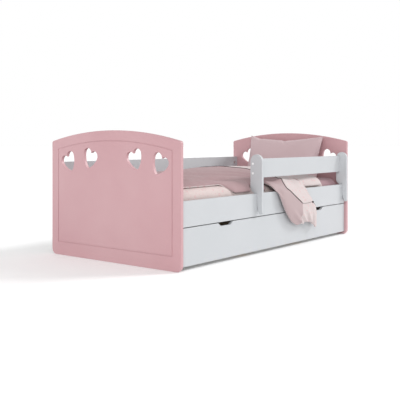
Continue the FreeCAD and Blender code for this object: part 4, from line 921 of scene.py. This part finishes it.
def build_duvet(cover, trim):
    """The duvet with its piping, seam and knob, in two pieces: what lies on the bed, and the
    corner that hangs over the rail."""
    upper, lower, cells, layers = duvet_grids()
    mesh = shell("duvet_cover", upper, lower, cells, **layers)
    whole = new_piece("duvet_cover", mesh, cover, trim)
    clear_cloth(mesh)
    puff(whole, pressure=2.5, reach=0.009, slack=0.05, bending=0.4)
    clear_cloth(whole.data)
    subdivide(whole)
    clear_cloth(whole.data)

    lifted = np.array(PIPING) + [[0, 0, 0.004]]
    cord_line = on_surface(whole.data, lifted, 260, 0.0008)
    cord = tube("piping", cord_line, 0.0021, border=0.0, tongue=cord_side(cord_line))
    seam_line = on_surface(whole.data, SEAM, 60, 0.0002)
    seam = tube("seam", seam_line, 0.0009, border=0.0, tongue=1.0)
    knob_at = on_surface(whole.data, [KNOB, KNOB + np.array([0.001, 0, 0])], 3, 0.003)[1]
    points, faces = ball(knob_at, 0.0062)
    knob = trimming("knob", points, faces, border=0.0, tongue=1.0)
    full = joined("duvet_cover", whole.data, cord, seam, knob)
    on_bed, hanging = split_at(full, SPLIT_HEIGHT)
    bpy.data.objects.remove(whole)

    duvet = new_piece("duvet_cover", on_bed, cover, trim)
    corner = new_piece("duvet_hanging_corner", hanging, cover, trim)
    for piece, node in ((duvet, "duvet"), (corner, "duvet_corner")):
        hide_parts(node)
        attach(piece, "frame")
    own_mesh(corner)


def build_pillow(cover):
    """Two layers of cloth sewn round their edge and filled, leaning on the headboard."""
    wide, high, thickest, lean = 0.575, 0.315, 0.095, math.radians(17)
    across, up = 48, 30
    v, u = np.meshgrid(np.linspace(-1, 1, up + 1), np.linspace(-1, 1, across + 1), indexing="ij")
    fill, pull = ((0.0225, 0.0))
    full = fill * ((1 - u ** 2) * (1 - v ** 2)) ** 0.5
    y = u * wide / 2 * (1 - pull * (1 - v ** 2))
    z = v * high / 2 * (1 - 2 * pull * (1 - u ** 2))
    flat = np.stack([0 * u, y, z], axis=2)
    depth = np.stack([full + 0.0012, 0 * u, 0 * u], axis=2)
    cloth = np.stack([u * wide / 2, v * high / 2, 0 * u], axis=2)
    cells = np.ones((up, across), bool)
    mesh = shell("pillow_cover", flat + depth, flat - depth, cells, cloth=cloth,
                 border=np.full_like(u, -BORDER_REACH))
    pillow = new_piece("pillow_cover", mesh, cover)
    puff(pillow, pressure=6.0, reach=0.05, stiffness=12, bending=0.1, frames=30)

    bounds = np.array(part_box("pillow"))
    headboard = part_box("headboard")[0][0]
    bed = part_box("mattress")[1][2] + SHEET_GAP
    points = points_of(pillow.data) - CORNER
    points[:, 0] *= min(1.0, thickest / np.ptp(points[:, 0]))
    sag = np.clip(points[:, 2] / 0.17, 0, 1) * np.clip(1 - (points[:, 1] / 0.28) ** 2, 0, 1)
    points[:, 2] -= 0.016 * sag
    x = -points[:, 0]
    z = points[:, 2]
    placed = np.stack([x * math.cos(lean) + z * math.sin(lean), points[:, 1],
                       z * math.cos(lean) - x * math.sin(lean)], axis=1) + bounds.mean(axis=0)
    placed[:, 2] += bounds[1][2] - placed[:, 2].max()
    placed[:, 0] += headboard - 0.006 - placed[:, 0].max()
    placed[:, 0] = soft_limit(placed[:, 0], headboard - 0.002)
    placed[:, 2] = -soft_limit(-placed[:, 2], -bed)
    set_points(pillow.data, placed)
    subdivide(pillow)
    placed = points_of(pillow.data)
    placed[:, 0] = np.minimum(placed[:, 0], headboard - 0.001)
    placed[:, 2] = np.maximum(placed[:, 2], bed)
    set_points(pillow.data, placed)
    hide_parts("pillow")
    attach(pillow, "frame")


def soft_limit(values, limit):
    """Values that come near the limit are eased to stay under it."""
    near = 0.006
    over = values - (limit - near)
    return np.where(over > 0, limit - near * np.exp(-over / near), values)


# Stage

def add_stage():
    """A white floor, a sky that is white round the horizon and dimmer overhead, and two broad
    suns before the bed: the key towards its head end and the fill towards its foot end."""
    world = bpy.data.worlds.new("studio")
    bpy.context.scene.world = world
    world.use_nodes = True
    nodes, links = world.node_tree.nodes, world.node_tree.links
    where = nodes.new("ShaderNodeTexCoord")
    split = nodes.new("ShaderNodeSeparateXYZ")
    links.new(where.outputs["Generated"], split.inputs["Vector"])
    dome = nodes.new("ShaderNodeMapRange")
    dome.interpolation_type = "SMOOTHSTEP"
    for socket, value in (("From Min", 0.28), ("From Max", 0.75), ("To Min", 1.0), ("To Max", 0.62)):
        dome.inputs[socket].default_value = value
    links.new(split.outputs["Z"], dome.inputs["Value"])
    sky = nodes["Background"]
    sky.inputs["Color"].default_value = (1, 1, 1, 1)
    links.new(dome.outputs["Result"], sky.inputs["Strength"])

    bpy.ops.mesh.primitive_circle_add(vertices=96, radius=60, fill_type="NGON")
    floor = bpy.context.object
    floor.name = "floor"
    p = Paint("studio_floor", (246, 246, 246), 0.9, Specular_IOR_Level=0.1,
              Emission_Color=(1, 1, 1, 1), Emission_Strength=0.08)
    floor.data.materials.append(p.material)

    add_sun("key", (0.66, -0.46, 0.59), 1.4, 16)
    add_sun("fill", (-0.75, -0.45, 0.48), 0.85, 30)


def add_sun(name, towards, strength, spread):
    """A distant lamp in the direction given, spread over that many degrees of sky."""
    data = bpy.data.lights.new(name, "SUN")
    data.energy = strength
    data.angle = math.radians(spread)
    lamp = bpy.data.objects.new(name, data)
    bpy.context.collection.objects.link(lamp)
    lamp.rotation_euler = Vector(towards).to_track_quat("Z", "Y").to_euler()


def add_camera():
    """A long lens level with the top of the bed, looking from the foot corner; the lens is shifted
    down, so uprights stay upright."""
    data = bpy.data.cameras.new("camera")
    data.sensor_width = 36
    data.lens = 61.96
    data.shift_y = -0.1477
    camera = bpy.data.objects.new("camera", data)
    bpy.context.collection.objects.link(camera)
    camera.location = (-3.1567, -2.3735, 0.5839)
    camera.rotation_euler = (math.radians(90), 0, math.radians(-51.805))
    bpy.context.scene.camera = camera


bpy.context.scene.view_settings.view_transform = "Standard"
paint_nodes()
# The duvet's plain side is painted lighter, turned, where it hangs over the rail: a painted highlight
# for the light that falls on the hanging corner.
duvet_cotton = fabric("duvet_cotton", plain=(168, 141, 143), pale=(205, 193, 192), sheen=0.12,
                      turned=(181, 162, 163))
sheet_cotton = fabric("sheet_cotton", plain=(165, 134, 140), pale=(207, 192, 189), sheen=0.1)
pillow_cotton = fabric("pillow_cotton", plain=(203, 180, 183), pale=(225, 212, 210), sheen=0.2)
build_mattress(sheet_cotton)
build_duvet(duvet_cotton, moulded("piping_cord", (34, 30, 32), 0.6))
build_pillow(pillow_cotton)
add_stage()
add_camera()
